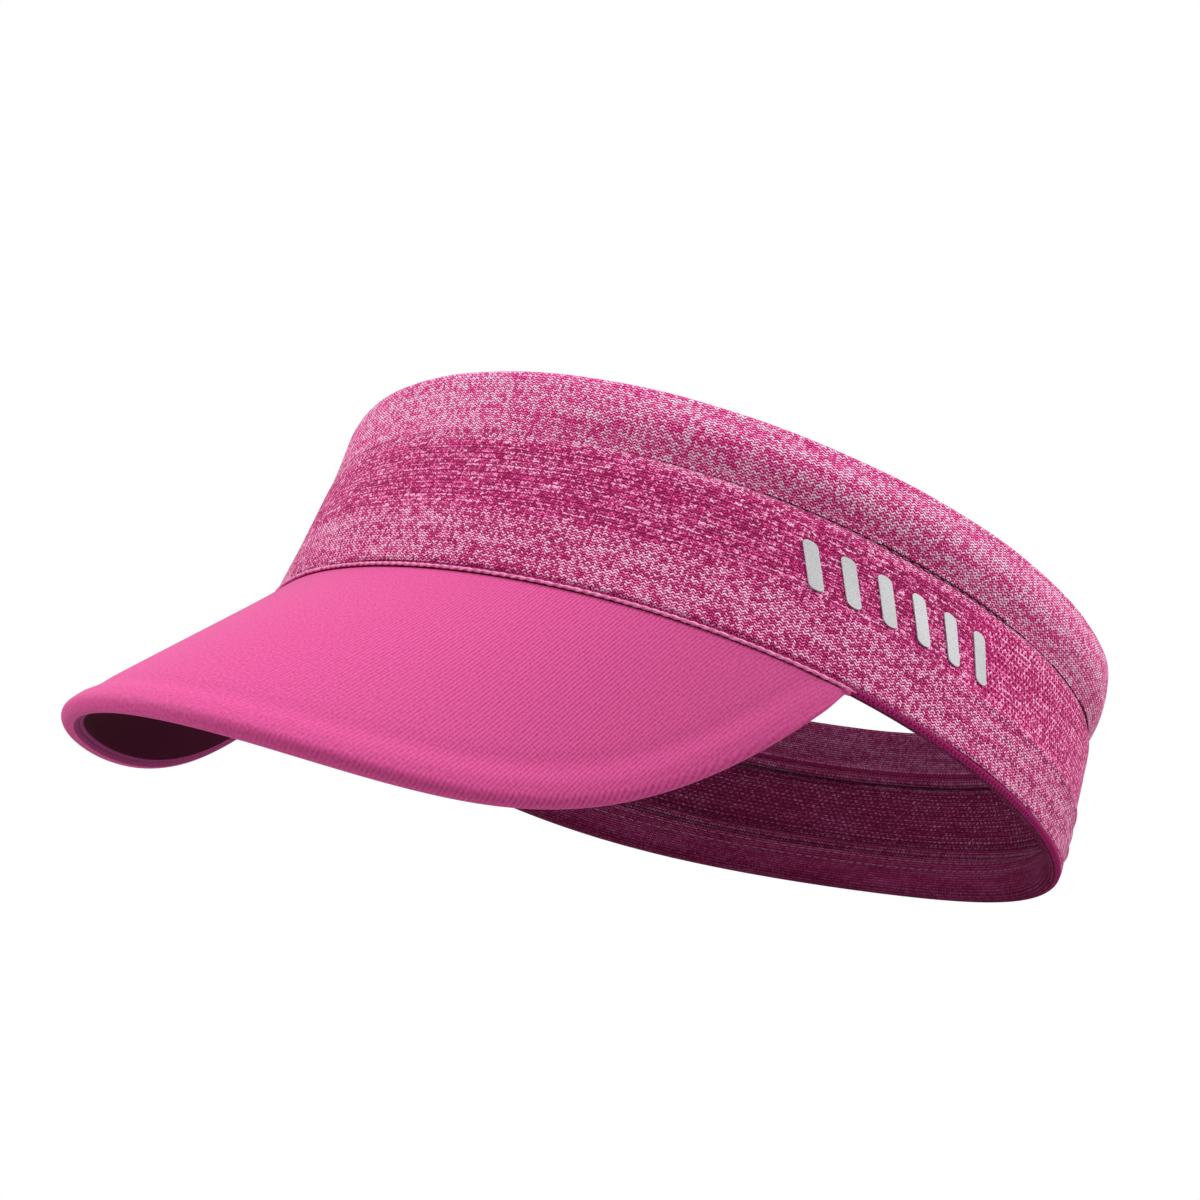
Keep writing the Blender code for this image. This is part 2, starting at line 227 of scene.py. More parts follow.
def run_along(places):
    """How far along its row each place lies from the row's first."""
    steps = np.linalg.norm(np.diff(places, axis=-2), axis=-1)
    return np.concatenate([np.zeros((*steps.shape[:-1], 1)), np.cumsum(steps, axis=-1)], axis=-1)


def grid_mesh(name, places, chart, closed):
    """A mesh from places[column, row] and its map in metres; a closed one joins its columns."""
    columns, rows = places.shape[:2]
    number = np.arange(columns * rows).reshape(columns, rows)
    last = columns if closed else columns - 1
    faces, corners = [], []
    for i in range(last):
        j = (i + 1) % columns
        for k in range(rows - 1):
            faces.append((number[i, k], number[j, k], number[j, k + 1], number[i, k + 1]))
            corners += [chart[i, k], chart[i + 1, k], chart[i + 1, k + 1], chart[i, k + 1]]
    mesh = bpy.data.meshes.new(name)
    mesh.from_pydata(places.reshape(-1, 3).tolist(), [], [tuple(map(int, face)) for face in faces])
    layer = mesh.uv_layers.new(name="cloth")
    layer.data.foreach_set("uv", np.array(corners, np.float32).ravel())
    mesh.shade_smooth()
    return put_in_scene(name, mesh)


def close_form(thing):
    """Closes a tube's open ends and turns every face outwards."""
    bpy.ops.object.select_all(action="DESELECT")
    bpy.context.view_layer.objects.active = thing
    bpy.ops.object.mode_set(mode="EDIT")
    bpy.ops.mesh.select_all(action="SELECT")
    bpy.ops.mesh.fill_holes(sides=0)
    bpy.ops.mesh.normals_make_consistent(inside=False)
    bpy.ops.object.mode_set(mode="OBJECT")


def apply_modifiers(thing):
    bpy.ops.object.select_all(action="DESELECT")
    thing.select_set(True)
    bpy.context.view_layer.objects.active = thing
    for modifier in list(thing.modifiers):
        bpy.ops.object.modifier_apply(modifier=modifier.name)


def thicken(thing, thickness, finishes, offset=0.0, even=True, lined=True):
    """Gives the sheet its thickness; of two finishes, the second is for its inner face."""
    for finish in finishes:
        thing.data.materials.append(finish)
    wall = thing.modifiers.new("thickness", "SOLIDIFY")
    wall.thickness = thickness
    wall.offset = offset
    wall.use_even_offset = even
    wall.material_offset = len(finishes) - 1 if lined else 0
    wall.material_offset_rim = 0
    apply_modifiers(thing)


def ring_cloth(name, section, columns, steps, thickness, finishes, offset=0.0, relief=None):
    """A closed ring of cloth. section(angle) gives its (height, depth) points, relief more depth."""
    angles = np.linspace(-pi, pi, columns + 1)
    controls = np.array([section(angle) for angle in angles])
    rows = np.einsum("rc,acd->ard", smooth_weights(controls.shape[1], steps), controls)
    turns = np.repeat(angles[:, None], rows.shape[1], axis=1)
    depth = rows[..., 1] if relief is None else rows[..., 1] + relief(turns, rows[..., 0])
    places = band_point(turns, rows[..., 0], depth)
    run = run_along(rows[0])
    up_cloth = rows[0][0][0] + run
    chart = points((turns + pi) / (2 * pi) * RIM_LENGTH, up_cloth[None, :], 0)[..., :2]
    thing = grid_mesh(name, places[:-1], chart, closed=True)
    thicken(thing, thickness, finishes, offset)
    return thing, float(run[-1])


def step_up(low, high, value):
    """0 below low, 1 above high and a soft step between them."""
    t = np.clip((value - low) / (high - low), 0, 1)
    return t * t * (3 - 2 * t)


# %% [markdown]
# ## Colours and nodes
# Dyes are written as the sRGB hex codes a designer would pick, and one function turns them to
# the linear numbers that the shader adds up. A second small function adds one node with its
# settings and its links, so that a material reads from top to bottom as a recipe. The cloths'
# patterns are drawn on their own map, in millimetres of cloth. The other finishes need no map,
# and their patterns are fixed to the piece itself.

# %% Colour and node helpers
SMOOTH = {"interpolation_type": "SMOOTHSTEP"}


def linear(code):
    shares = [int(code[i:i + 2], 16) / 255 for i in (1, 3, 5)]
    return (*[s / 12.92 if s <= 0.04045 else ((s + 0.055) / 1.055) ** 2.4 for s in shares], 1)


def new_material(name):
    made = bpy.data.materials.new(name)
    made.use_nodes = True
    return made, made.node_tree, made.node_tree.nodes["Principled BSDF"]


def add(tree, kind, links=(), out=0, **settings):
    """One node: its settings, then its inputs, each a value or another node's output."""
    node = tree.nodes.new("ShaderNode" + kind)
    for name, value in settings.items():
        setattr(node, name, value)
    for socket, value in dict(links).items():
        if isinstance(value, bpy.types.NodeSocket):
            tree.links.new(value, node.inputs[socket])
        else:
            node.inputs[socket].default_value = value
    return node.outputs[out]


def cloth_millimetres(tree):
    """The place on the cloth laid flat, in millimetres."""
    place = add(tree, "UVMap", uv_map="cloth")
    return add(tree, "VectorMath", {0: place, "Scale": 1000.0}, operation="SCALE")


def dress(tree, shader, colour, looks, bump=None):
    """Gives the shader its colour, its relief and the way it takes the light."""
    tree.links.new(colour, shader.inputs["Base Color"])
    if bump:
        tree.links.new(bump, shader.inputs["Normal"])
    for name, value in looks.items():
        shader.inputs[name].default_value = value


def two_tone(name, dark, light, roughness, texture, pattern, **settings):
    """A finish that runs from one dye to the other by a pattern fixed to the piece itself."""
    made, tree, shader = new_material(name)
    place = add(tree, "TexCoord", out=3)
    share = add(tree, texture, {"Vector": place, **pattern}, **settings)
    colour = add(tree, "Mix", {0: share, 6: linear(dark), 7: linear(light)}, out=2, data_type="RGBA")
    dress(tree, shader, colour, {"Roughness": roughness})
    return made


# %% [markdown]
# ## Heather knit
# The band is polyester jersey in a melange yarn: magenta fibres spun with undyed ones, so that
# each small stitch comes out anywhere between deep magenta and nearly white, and fibres run on
# for a few stitches along a course. The middle of the band is knitted more openly: in front its
# courses float over two stitches and show as short pale dashes, and behind the temples it is an
# airy mesh with small holes. The yarns could be modelled one by one, but a band has about a
# hundred thousand stitches, so they are drawn in the material and stand up as a relief.

# %% Stitches
# A real wale is about 0.6 mm wide. It is drawn at nearly twice that, so that it still shows.
WALE = 1.10
COURSE = 0.62
STITCH_LEAN = 1.3


def stitches(tree, along, height):
    """V-shaped jersey stitches: how high the yarn stands, and a chance for each stitch's leg."""
    wales = add(tree, "Math", {0: along, 1: WALE}, operation="DIVIDE")
    slant = add(tree, "Math", {0: wales, 1: 0.5}, operation="PINGPONG")
    courses = add(tree, "Math", {0: height, 1: COURSE}, operation="DIVIDE")
    course = add(tree, "Math", {0: slant, 1: STITCH_LEAN, 2: courses}, operation="MULTIPLY_ADD")
    row = add(tree, "Math", {0: course}, operation="FLOOR")
    legs = add(tree, "Math", {0: wales, 1: 2.0}, operation="MULTIPLY")
    leg = add(tree, "Math", {0: legs}, operation="FLOOR")
    stitch = add(tree, "CombineXYZ", {0: leg, 1: row})
    speck = add(tree, "TexWhiteNoise", {"Vector": stitch}, noise_dimensions="2D")
    round_row = add(tree, "Math", {0: course, 1: 0.5}, operation="PINGPONG")
    round_leg = add(tree, "Math", {0: legs, 1: 0.5}, operation="PINGPONG")
    yarn_up = add(tree, "MapRange", {"Value": round_row, "From Max": 0.45}, **SMOOTH)
    yarn_side = add(tree, "MapRange", {"Value": round_leg, "From Max": 0.35, "To Min": 0.55}, **SMOOTH)
    yarn = add(tree, "Math", {0: yarn_up, 1: yarn_side}, operation="MULTIPLY")
    return yarn, speck


# %% [markdown]
# ## Dashes and mesh
# A float lies over two stitches and looks pale, and an open mesh looks dark in its holes. Both
# are drawn as cells of a grid whose rows are shifted against each other, as stitches are.

# %% Dashes and mesh
DASH_COURSE = 1.08
DASH_LENGTH = 1.7
DASH_WANDER = 1.3
DASH_SHARE = 0.75
HOLE_COURSE = 1.05
HOLE_WALE = 1.15
NET_INNER = 0.12
NET_OUTER = 0.38


def dashes(tree, along, height, fleck, right_side):
    """Floats over two stitches: the shape of each dash, and how much of it shows pale.

    On the right side they lie at random and some stay dark; on the reverse they lie in brick order.
    """
    uneven = add(tree, "Math", {0: fleck, 1: DASH_WANDER, 2: height}, operation="MULTIPLY_ADD")
    rows = add(tree, "Math", {0: uneven, 1: DASH_COURSE}, operation="DIVIDE")
    row = add(tree, "Math", {0: rows}, operation="FLOOR")
    if right_side:
        shifted = add(tree, "TexWhiteNoise", {"W": row}, noise_dimensions="1D")
    else:
        shifted = add(tree, "Math", {0: row, 1: 0.5}, operation="MULTIPLY")
    lengths = add(tree, "Math", {0: along, 1: 1 / DASH_LENGTH, 2: shifted}, operation="MULTIPLY_ADD")
    number = add(tree, "Math", {0: lengths}, operation="FLOOR")
    cell = add(tree, "CombineXYZ", {0: number, 1: row})
    chance = add(tree, "TexWhiteNoise", {"Vector": cell}, noise_dimensions="2D")
    darkest = 0.15 if right_side else -0.60
    shown = add(tree, "MapRange", {"Value": chance, "From Min": darkest, "From Max": DASH_SHARE})
    across = add(tree, "Math", {0: rows, 1: 0.5}, operation="PINGPONG")
    thin = add(tree, "MapRange", {"Value": across, "From Min": 0.22, "From Max": 0.36}, **SMOOTH)
    lengthwise = add(tree, "Math", {0: lengths, 1: 0.5}, operation="PINGPONG")
    gap = 0.04 if right_side else 0.14
    ends = add(tree, "MapRange", {"Value": lengthwise, "From Min": gap, "From Max": gap + 0.10}, **SMOOTH)
    dash = add(tree, "Math", {0: thin, 1: ends}, operation="MULTIPLY")
    return dash, add(tree, "Math", {0: dash, 1: shown}, operation="MULTIPLY")


def mesh_yarn(tree, along, height):
    """An airy mesh in brick order: 1 along its yarn and 0 in its holes."""
    rows = add(tree, "Math", {0: height, 1: HOLE_COURSE}, operation="DIVIDE")
    row = add(tree, "Math", {0: rows}, operation="FLOOR")
    shift = add(tree, "Math", {0: row, 1: 0.5}, operation="MULTIPLY")
    wales = add(tree, "Math", {0: along, 1: 1 / HOLE_WALE, 2: shift}, operation="MULTIPLY_ADD")
    up = add(tree, "Math", {0: rows, 1: 0.5}, operation="PINGPONG")
    side = add(tree, "Math", {0: wales, 1: 0.5}, operation="PINGPONG")
    from_yarn = add(tree, "Math", {0: up, 1: side}, operation="MINIMUM")
    return add(tree, "MapRange", {"Value": from_yarn, "From Min": NET_INNER, "From Max": NET_OUTER,
                                  "To Min": 1.0, "To Max": 0.0}, **SMOOTH)


# %% [markdown]
# ## Where the knit opens
# The open zone is a belt round the middle of the band. Its lower border wanders with the
# streaks of the yarn, and its upper border follows a course. In front it holds dashes and
# behind the temples mesh.

# %% Where the knit opens
OPEN_LOW = 13.0
OPEN_HIGH = 30.0
MESH_STARTS = 74.0
MESH_BLEND = 7.0


def open_zone(tree, along, height, streak, right_side):
    """How far the knit is open here, between two heights, and how far it is mesh, round the back."""
    middle = add(tree, "Math", {0: along, 1: RIM_LENGTH * 500}, operation="SUBTRACT")
    from_middle = add(tree, "Math", {0: middle}, operation="ABSOLUTE")
    degrees = add(tree, "Math", {0: from_middle, 1: 360 / (RIM_LENGTH * 1000)}, operation="MULTIPLY")
    behind = add(tree, "MapRange", {"Value": degrees, "From Min": MESH_STARTS,
                                    "From Max": MESH_STARTS + MESH_BLEND,
                                    "To Max": float(right_side)}, **SMOOTH)
    wander = add(tree, "Math", {0: streak, 1: 3.0, 2: height}, operation="MULTIPLY_ADD")
    above = add(tree, "MapRange", {"Value": wander, "From Min": OPEN_LOW + 1,
                                   "From Max": OPEN_LOW + 3}, **SMOOTH)
    below = add(tree, "MapRange", {"Value": height, "From Min": OPEN_HIGH - 1.2,
                                   "From Max": OPEN_HIGH, "To Min": 1.0, "To Max": 0.0}, **SMOOTH)
    return add(tree, "Math", {0: above, 1: below}, operation="MULTIPLY"), behind


# %% [markdown]
# ## The knit's recipe
# How pale a stitch is adds up from its own chance and from flecks and streaks that run along the
# yarn, as a real melange yarn is mixed from loose fibres, and from the height of the yarn, which is
# a painted highlight on its crown. Three dyes are mixed by it, and the gaps between the yarns get
# painted shade.

# %% The knit's recipe
FLECKS_PER_MM = (0.42, 1.35, 0.0)
STREAKS_PER_MM = (0.035, 0.42, 0.0)
MIDDLE_TONE = 0.51
FLECK_SHARE = 0.30
STREAK_SHARE = 0.60
# Paler crowns on the raised yarn: painted highlight.
CROWN_HIGHLIGHT_SHARE = 0.60
GROUND_SHARE = 0.80
GROUND_DROP = 0.14
DASH_PALENESS = 0.42
NET_RISE = 0.50
NET_DROP = 0.60
GAP_SHADE = 0.34
KNIT_RELIEF = 0.00022


def knit(name, dyes, openwork=False, right_side=True, stripes=(), stripe_dye="#650c38",
         melange=0.92, fuzz=0.15, shine=0.2):
    """Heather jersey. To the eye it is matt and speckled, with a little pale fuzz at its edges."""
    made, tree, shader = new_material(name)
    mm = cloth_millimetres(tree)
    along = add(tree, "SeparateXYZ", {0: mm})
    height = along.node.outputs[1]
    yarn, speck = stitches(tree, along, height)

    fleck_place = add(tree, "VectorMath", {0: mm, 1: FLECKS_PER_MM}, operation="MULTIPLY")
    fleck = add(tree, "TexNoise", {"Vector": fleck_place, "Scale": 1.0, "Detail": 2.0},
                noise_dimensions="2D")
    streak_place = add(tree, "VectorMath", {0: mm, 1: STREAKS_PER_MM}, operation="MULTIPLY")
    streak = add(tree, "TexNoise", {"Vector": streak_place, "Scale": 1.0, "Detail": 3.0},
                 noise_dimensions="2D")
    pale = add(tree, "Math", {0: speck, 1: melange, 2: MIDDLE_TONE - melange / 2},
               operation="MULTIPLY_ADD")
    # The yarn's height makes its crown paler, a painted highlight.
    for part, share in ((fleck, FLECK_SHARE), (streak, STREAK_SHARE), (yarn, CROWN_HIGHLIGHT_SHARE)):
        swing = add(tree, "Math", {0: part, 1: share, 2: -share / 2}, operation="MULTIPLY_ADD")
        pale = add(tree, "Math", {0: pale, 1: swing}, operation="ADD")
    relief = yarn

    if openwork:
        dash, seen = dashes(tree, along, height, fleck, right_side)
        ground = add(tree, "Math", {0: pale, 1: GROUND_SHARE, 2: -GROUND_DROP},
                     operation="MULTIPLY_ADD")
        dash_pale = add(tree, "Math", {0: seen, 1: DASH_PALENESS, 2: ground},
                        operation="MULTIPLY_ADD")
        dash_up = add(tree, "Math", {0: yarn, 1: 0.45, 2: dash}, operation="MULTIPLY_ADD")
        net = mesh_yarn(tree, along, height)
        net_swing = add(tree, "Math", {0: net, 1: NET_RISE, 2: -NET_DROP}, operation="MULTIPLY_ADD")
        net_pale = add(tree, "Math", {0: net_swing, 1: pale}, operation="ADD")
        opened, behind = open_zone(tree, along, height, streak, right_side)
        open_pale = add(tree, "Mix", {0: behind, 2: dash_pale, 3: net_pale})
        open_up = add(tree, "Mix", {0: behind, 2: dash_up, 3: net})
        pale = add(tree, "Mix", {0: opened, 2: pale, 3: open_pale})
        relief = add(tree, "Mix", {0: opened, 2: yarn, 3: open_up})

    deep, middle, light = dyes
    lower = add(tree, "MapRange", {"Value": pale, "From Min": 0.10, "From Max": 0.55})
    upper = add(tree, "MapRange", {"Value": pale, "From Min": 0.50, "From Max": 1.00})
    dyed = add(tree, "Mix", {0: lower, 6: linear(deep), 7: linear(middle)}, out=2, data_type="RGBA")
    mixed = add(tree, "Mix", {0: upper, 6: dyed, 7: linear(light)}, out=2, data_type="RGBA")
    for stripe, half_width in stripes:
        off = add(tree, "Math", {0: height, 1: stripe}, operation="SUBTRACT")
        off = add(tree, "Math", {0: off}, operation="ABSOLUTE")
        on = add(tree, "MapRange", {"Value": off, "From Min": half_width, "From Max": half_width * 1.4,
                                    "To Min": 0.85, "To Max": 0.0}, **SMOOTH)
        mixed = add(tree, "Mix", {0: on, 6: mixed, 7: linear(stripe_dye)}, out=2, data_type="RGBA")
    gap = add(tree, "MapRange", {"Value": relief, "From Max": 0.5, "To Min": GAP_SHADE})
    shaded = add(tree, "VectorMath", {0: mixed, "Scale": gap}, operation="SCALE")
    bump = add(tree, "Bump", {"Height": relief, "Strength": 0.8, "Distance": KNIT_RELIEF})
    looks = {"Roughness": 0.85, "Specular IOR Level": shine, "Sheen Weight": fuzz,
             "Sheen Roughness": 0.3, "Sheen Tint": linear("#ffc9e2")}
    dress(tree, shader, shaded, looks, bump)
    return made


# %% [markdown]
# ## The band's three knits
# The outside of the band and the plainer welt are knitted from one yarn, the welt a little
# more evenly and in brighter dyes, which are painted light on the welt. Their reverse is drawn
# much darker, partly as a maroon plating yarn and partly as painted shade for the unlit inside,
# and a few courses of it run darker still.

# %% The band's three knits
BAND_STRIPES = ((9.6, 0.30), (12.4, 0.25))
WELT_STRIPES = ((61.5, 0.30), (63.0, 0.30))

heather = knit("heather polyester jersey", ("#a60b59", "#ec4498", "#ffc2e0"), openwork=True)
# The welt's dyes are brighter than the band's: painted light on the welt, which stands out into the
# light.
welt_heather_painted_light = knit("heather jersey, plain, painted light", ("#d21674", "#ff60b0", "#ffdaee"), melange=0.80)
# Dark dyes for the reverse: partly a maroon plating yarn, partly painted shade for the inside of the
# band.
reverse_knit_painted_shade = knit("heather jersey, reverse, painted shade", ("#4e0529", "#66123c", "#7f5470"), openwork=True,
                   right_side=False, stripes=BAND_STRIPES + WELT_STRIPES, melange=0.40,
                   fuzz=0.0, shine=0.05)
print("knits:", heather.name, "/", welt_heather_painted_light.name, "/", reverse_knit_painted_shade.name)

# %% [markdown]
# ## The knitted band
# The middle of the visor is a single knit, 1.4 mm thick, from the hem's fold up to the groove
# under the welt. Its top edge is drawn inwards where it is sewn into the groove: hardly at all
# over the forehead and fully at the sides, further back on the wearer's right than on the left.
# Behind the temples three low ribs run along its lower part. The cloth could be draped by a
# simulation, but it is held stretched, so a ring swept through a short section is truer.

# %% Band
KNIT = 0.0014
WELT_HEIGHT = 0.0143
GROOVE = 0.0012
GROOVE_LOW = BAND_HEIGHT - WELT_HEIGHT - GROOVE
RIB_HEIGHTS = (0.0062, 0.0094, 0.0128)
RIB_WIDTH = 0.0009
RIB_RISE = 0.00060
RIBS_START = radians(66)
RIBS_FULL = radians(88)
GROOVE_STARTS = radians(9)
GROOVE_FULL = radians(42)
RIGHT_LAG = radians(24)
FAINTEST_GROOVE = 0.05
SLOW_WAVE = 0.00009
QUICK_WAVE = 0.00006


def at_sides(angle):
    """0 over the forehead, where the groove is faint, and 1 at the sides and back.

    On the wearer's right the step between them lies RIGHT_LAG further back than on the left.
    """
    from_middle = np.where(np.asarray(angle) > 0, angle, -np.asarray(angle) - RIGHT_LAG)
    return step_up(GROOVE_STARTS, GROOVE_FULL, from_middle)


def ribs(angle, height):
    """The three low ribs behind the temples."""
    behind = step_up(RIBS_START, RIBS_FULL, np.abs(angle))
    rise = sum(np.exp(-((height - rib) / RIB_WIDTH) ** 2) for rib in RIB_HEIGHTS)
    return rise * RIB_RISE * behind


def drape(angle, height):
    """Long shallow waves that stretched knit keeps, under a fifth of a millimetre."""
    slow = np.sin(5.3 * angle + 160 * height) + np.sin(8.7 * angle - 230 * height + 1.3)
    return SLOW_WAVE * slow + QUICK_WAVE * np.sin(23 * angle + 310 * height)


def band_section(angle):
    """Heights and depths from just over the hem's fold up into the groove."""
    dip = FAINTEST_GROOVE + (1 - FAINTEST_GROOVE) * at_sides(angle)
    return [
        (0.0006, -0.00040), (0.0011, -0.00010), (0.0022, 0.0), (0.0090, 0.0), (0.0150, 0.0),
        (0.0220, 0.0), (GROOVE_LOW - 0.0030, 0.0), (GROOVE_LOW - 0.0014, -0.00030 * dip),
        (GROOVE_LOW - 0.0003, -0.00080 * dip), (GROOVE_LOW + 0.0004, -0.00140 * dip),
    ]


def band_relief(angle, height):
    return ribs(angle, height) + drape(angle, height)


knit_band, band_cut = ring_cloth(
    "knit_band", band_section, 480, 7, KNIT, (heather, reverse_knit_painted_shade), offset=-1.0, relief=band_relief
)
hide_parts("band_body")
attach(knit_band, "root")
print("knit_band:", len(knit_band.data.polygons), "faces, cut", round(band_cut * 1000, 1), "mm high")

# %% [markdown]
# ## The rolled welt
# Above the groove the knit is folded over an elastic and stands a little proud, like a soft
# tube. It is one cloth: up the outside, over the top and down the inside, where its sewn end
# makes two thin ridges. Its section is a few points, and a smooth curve through them is the
# fold. At the back, where the elastic is slack, it lies flatter.

# %% Welt
WELT_CLOTH = 0.0011
WELT_LOW = BAND_HEIGHT - WELT_HEIGHT
FOLD_RADIUS = 0.00145
FOLD_MIDDLE = -0.0008
BACK_FLATNESS = 0.5
BACK_STARTS = radians(95)
BACK_FULL = radians(130)


def welt_section(angle):
    """Heights and depths of the fold; the outside is given flat in front and full at the sides."""
    side = at_sides(angle)
    slack = 1 - BACK_FLATNESS * step_up(BACK_STARTS, BACK_FULL, np.abs(angle))
    outer = [
        (height, front + (min(full, full * slack) - front) * side) for height, front, full in (
            (WELT_LOW - 0.0007, -0.00060, -0.00190), (WELT_LOW - 0.0001, -0.00052, -0.00150),
            (WELT_LOW + 0.0010, -0.00042, -0.00108), (WELT_LOW + 0.0027, -0.00030, -0.00008),
            (WELT_LOW + 0.0052, -0.00005, 0.00100), (WELT_LOW + 0.0084, 0.00030, 0.00130),
        )
    ]
    fold = BAND_HEIGHT - WELT_CLOTH / 2 - FOLD_RADIUS
    inner = FOLD_MIDDLE - FOLD_RADIUS
    return outer + [
        (fold - 0.0006, 0.00062), (fold + 0.0009, FOLD_MIDDLE + 0.0011),
        (fold + FOLD_RADIUS, FOLD_MIDDLE), (fold + 0.0009, FOLD_MIDDLE - 0.0011),
        (fold - 0.0006, inner), (WELT_LOW + 0.0060, inner - 0.0001), (WELT_LOW + 0.0024, inner),
        (WELT_LOW + 0.0012, inner - 0.00055), (WELT_LOW, inner),
        (WELT_LOW - 0.0012, inner - 0.00055), (WELT_LOW - 0.0022, inner + 0.0001),
    ]


rolled_welt, welt_cut = ring_cloth(
    "rolled_welt", welt_section, 440, 4, WELT_CLOTH, (welt_heather_painted_light,), relief=drape
)
# Faces on the welt's inner side take the darker reverse knit, partly painted shade.
rolled_welt.data.materials.append(reverse_knit_painted_shade)
inside = FOLD_MIDDLE - 0.0004
for face in rolled_welt.data.polygons:
    middle = face.center
    angle = np.arctan2(middle.x / LOWER_HALF_WIDTH, -middle.y / LOWER_HALF_LENGTH)
    wall = Vector(band_point(np.array(angle), middle.z, 0.0))
    outwards = Vector((middle.x, middle.y, 0)).normalized()
    if (middle - wall).dot(outwards) < inside:
        face.material_index = 1
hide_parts("top_welt")
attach(rolled_welt, "root")
print("rolled_welt:", len(rolled_welt.data.polygons), "faces, cut", round(welt_cut * 1000, 1), "mm")

# %% [markdown]
# ## The folded hem
# The lower rim is bound with a thinner strip of knit in dark dyes, partly its own maroon and
# partly painted shade for the inside. It leaves the band under its lower edge, turns round the rim
# and lies up against the inside, where two rows of stitches hold it. From outside only a thin line
# of it shows, drawn in a brighter magenta than its inner side: the outside is painted as lit and
# the inside as in shade.

# %% Hem
HEM_CLOTH = 0.0009
HEM_HEIGHT = 0.0092


def hem_section(angle):
    """Heights and depths from the outside, round the rim and up the inside; the same all round."""
    return [
        (0.0013, -0.00135), (0.0007, -0.00095), (0.0001, -0.00080), (-0.00015, -0.00130),
        (-0.0001, -0.00200), (0.00025, -0.00290), (0.0011, -0.00345), (0.0030, -0.00365),
        (0.0060, -0.00360), (0.0080, -0.00355), (HEM_HEIGHT, -0.00330),
    ]


# Dark dyes for the hem's inner side, partly painted shade; the brighter stripe is the thin line seen
# outside.
hem_knit_painted_shade = knit("magenta hem jersey, painted shade", ("#540728", "#6c103e", "#843f66"), melange=0.40,
                stripes=((2.2, 0.8),), stripe_dye="#b32a70", fuzz=0.0, shine=0.05)
folded_hem, hem_cut = ring_cloth("folded_hem", hem_section, 400, 4, HEM_CLOTH, (hem_knit_painted_shade,))
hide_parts("bottom_hem")
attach(folded_hem, "root")
print("folded_hem:", len(folded_hem.data.polygons), "faces, cut", round(hem_cut * 1000, 1), "mm")

# %% [markdown]
# ## The peak's cloths
# The peak is a flexible board covered in brushed polyester twill. The cloth is led inwards under
# the hem, where it is sewn, lies smoothly over the board, rolls round the free edge and is
# turned under, where its own folded end makes a narrow bead beside the dark lining. The roll is
# drawn as a half circle and the turned part as a few points, and everything tapers away towards
# the two corners. The last of the roll and the turned part take a darker finish with less nap;
# its darker dyes are painted shade for the side that faces down, away from the light. The twill's
# lines show clearest near one patch of the peak.

# %% Twill and lining materials
TWILL_PITCH = 0.70
TWILL_ANGLE = radians(-83)
TWILL_CLEAREST = (60.0, -249.0, 0.0)
CLEAR_WITHIN = 10.0
FAINT_BEYOND = 60.0
FAINT_LINES = 0.08
MEAN_WEAVE = 0.7
SPECKLE = 1.2


def twill(name, dye, shadow, line_depth, nap, shine):
    """Twill weave. To the eye it is fine slanting lines, softened by the brushed nap over them."""
    made, tree, shader = new_material(name)
    mm = cloth_millimetres(tree)
    turned = add(tree, "Mapping", {"Vector": mm, "Rotation": (0, 0, TWILL_ANGLE)})
    across = add(tree, "SeparateXYZ", {0: turned}, out=1)
    length = across.node.outputs[0]
    lines = add(tree, "Math", {0: across, 1: TWILL_PITCH}, operation="DIVIDE")
    ridge = add(tree, "Math", {0: lines, 1: 0.5}, operation="PINGPONG")
    ridge = add(tree, "MapRange", {"Value": ridge, "From Max": 0.42}, **SMOOTH)
    steps = add(tree, "Math", {0: length, 1: TWILL_PITCH * 0.8}, operation="DIVIDE")
    yarn = add(tree, "Math", {0: steps, 1: 0.5}, operation="PINGPONG")
    weave = add(tree, "Math", {0: yarn, 1: 0.35, 2: ridge}, operation="MULTIPLY_ADD")
    patch = add(tree, "VectorMath", {0: mm, 1: TWILL_CLEAREST}, out=1, operation="DISTANCE")
    fuzz = add(tree, "TexNoise", {"Vector": mm, "Scale": 1.9, "Detail": 3.0}, noise_dimensions="2D")
    clear = add(tree, "MapRange", {"Value": patch, "From Min": CLEAR_WITHIN, "From Max": FAINT_BEYOND,
                                   "To Min": 1.0, "To Max": FAINT_LINES})
    lowered = add(tree, "Math", {0: weave, 1: -MEAN_WEAVE}, operation="ADD")
    drawn = add(tree, "Math", {0: lowered, 1: clear}, operation="MULTIPLY")
    shade = add(tree, "Math", {0: drawn, 1: line_depth, 2: 0.75}, operation="MULTIPLY_ADD")
    speckle = add(tree, "Math", {0: fuzz, 1: SPECKLE, 2: -SPECKLE / 2}, operation="MULTIPLY_ADD")
    share = add(tree, "Math", {0: shade, 1: speckle}, operation="ADD")
    colour = add(tree, "Mix", {0: share, 6: linear(shadow), 7: linear(dye)}, out=2, data_type="RGBA")
    height = add(tree, "Math", {0: fuzz, 1: 0.35, 2: drawn}, operation="MULTIPLY_ADD")
    bump = add(tree, "Bump", {"Height": height, "Strength": 0.35, "Distance": 0.00010})
    looks = {"Roughness": 0.72, "Specular IOR Level": shine, "Sheen Weight": nap,
             "Sheen Roughness": 0.35, "Sheen Tint": linear("#ffb4d6")}
    dress(tree, shader, colour, looks, bump)
    return made


peak_twill = twill("brushed polyester twill", "#ce488b", "#9c1e5e", 0.74, nap=0.18, shine=0.3)
# A darker copy of the peak's twill for the turned edge: painted shade.
turned_twill_painted_shade = twill("polyester twill, turned under, painted shade", "#97396c", "#5c163c", 0.50, nap=0.04, shine=0.1)
# The lining's maroon is darkened further: painted shade for the peak's underside and the inside of the
# band.
lining_twill_painted_shade = twill("maroon lining twill, painted shade", "#400a22", "#2c0516", 0.40, nap=0.0, shine=0.05)

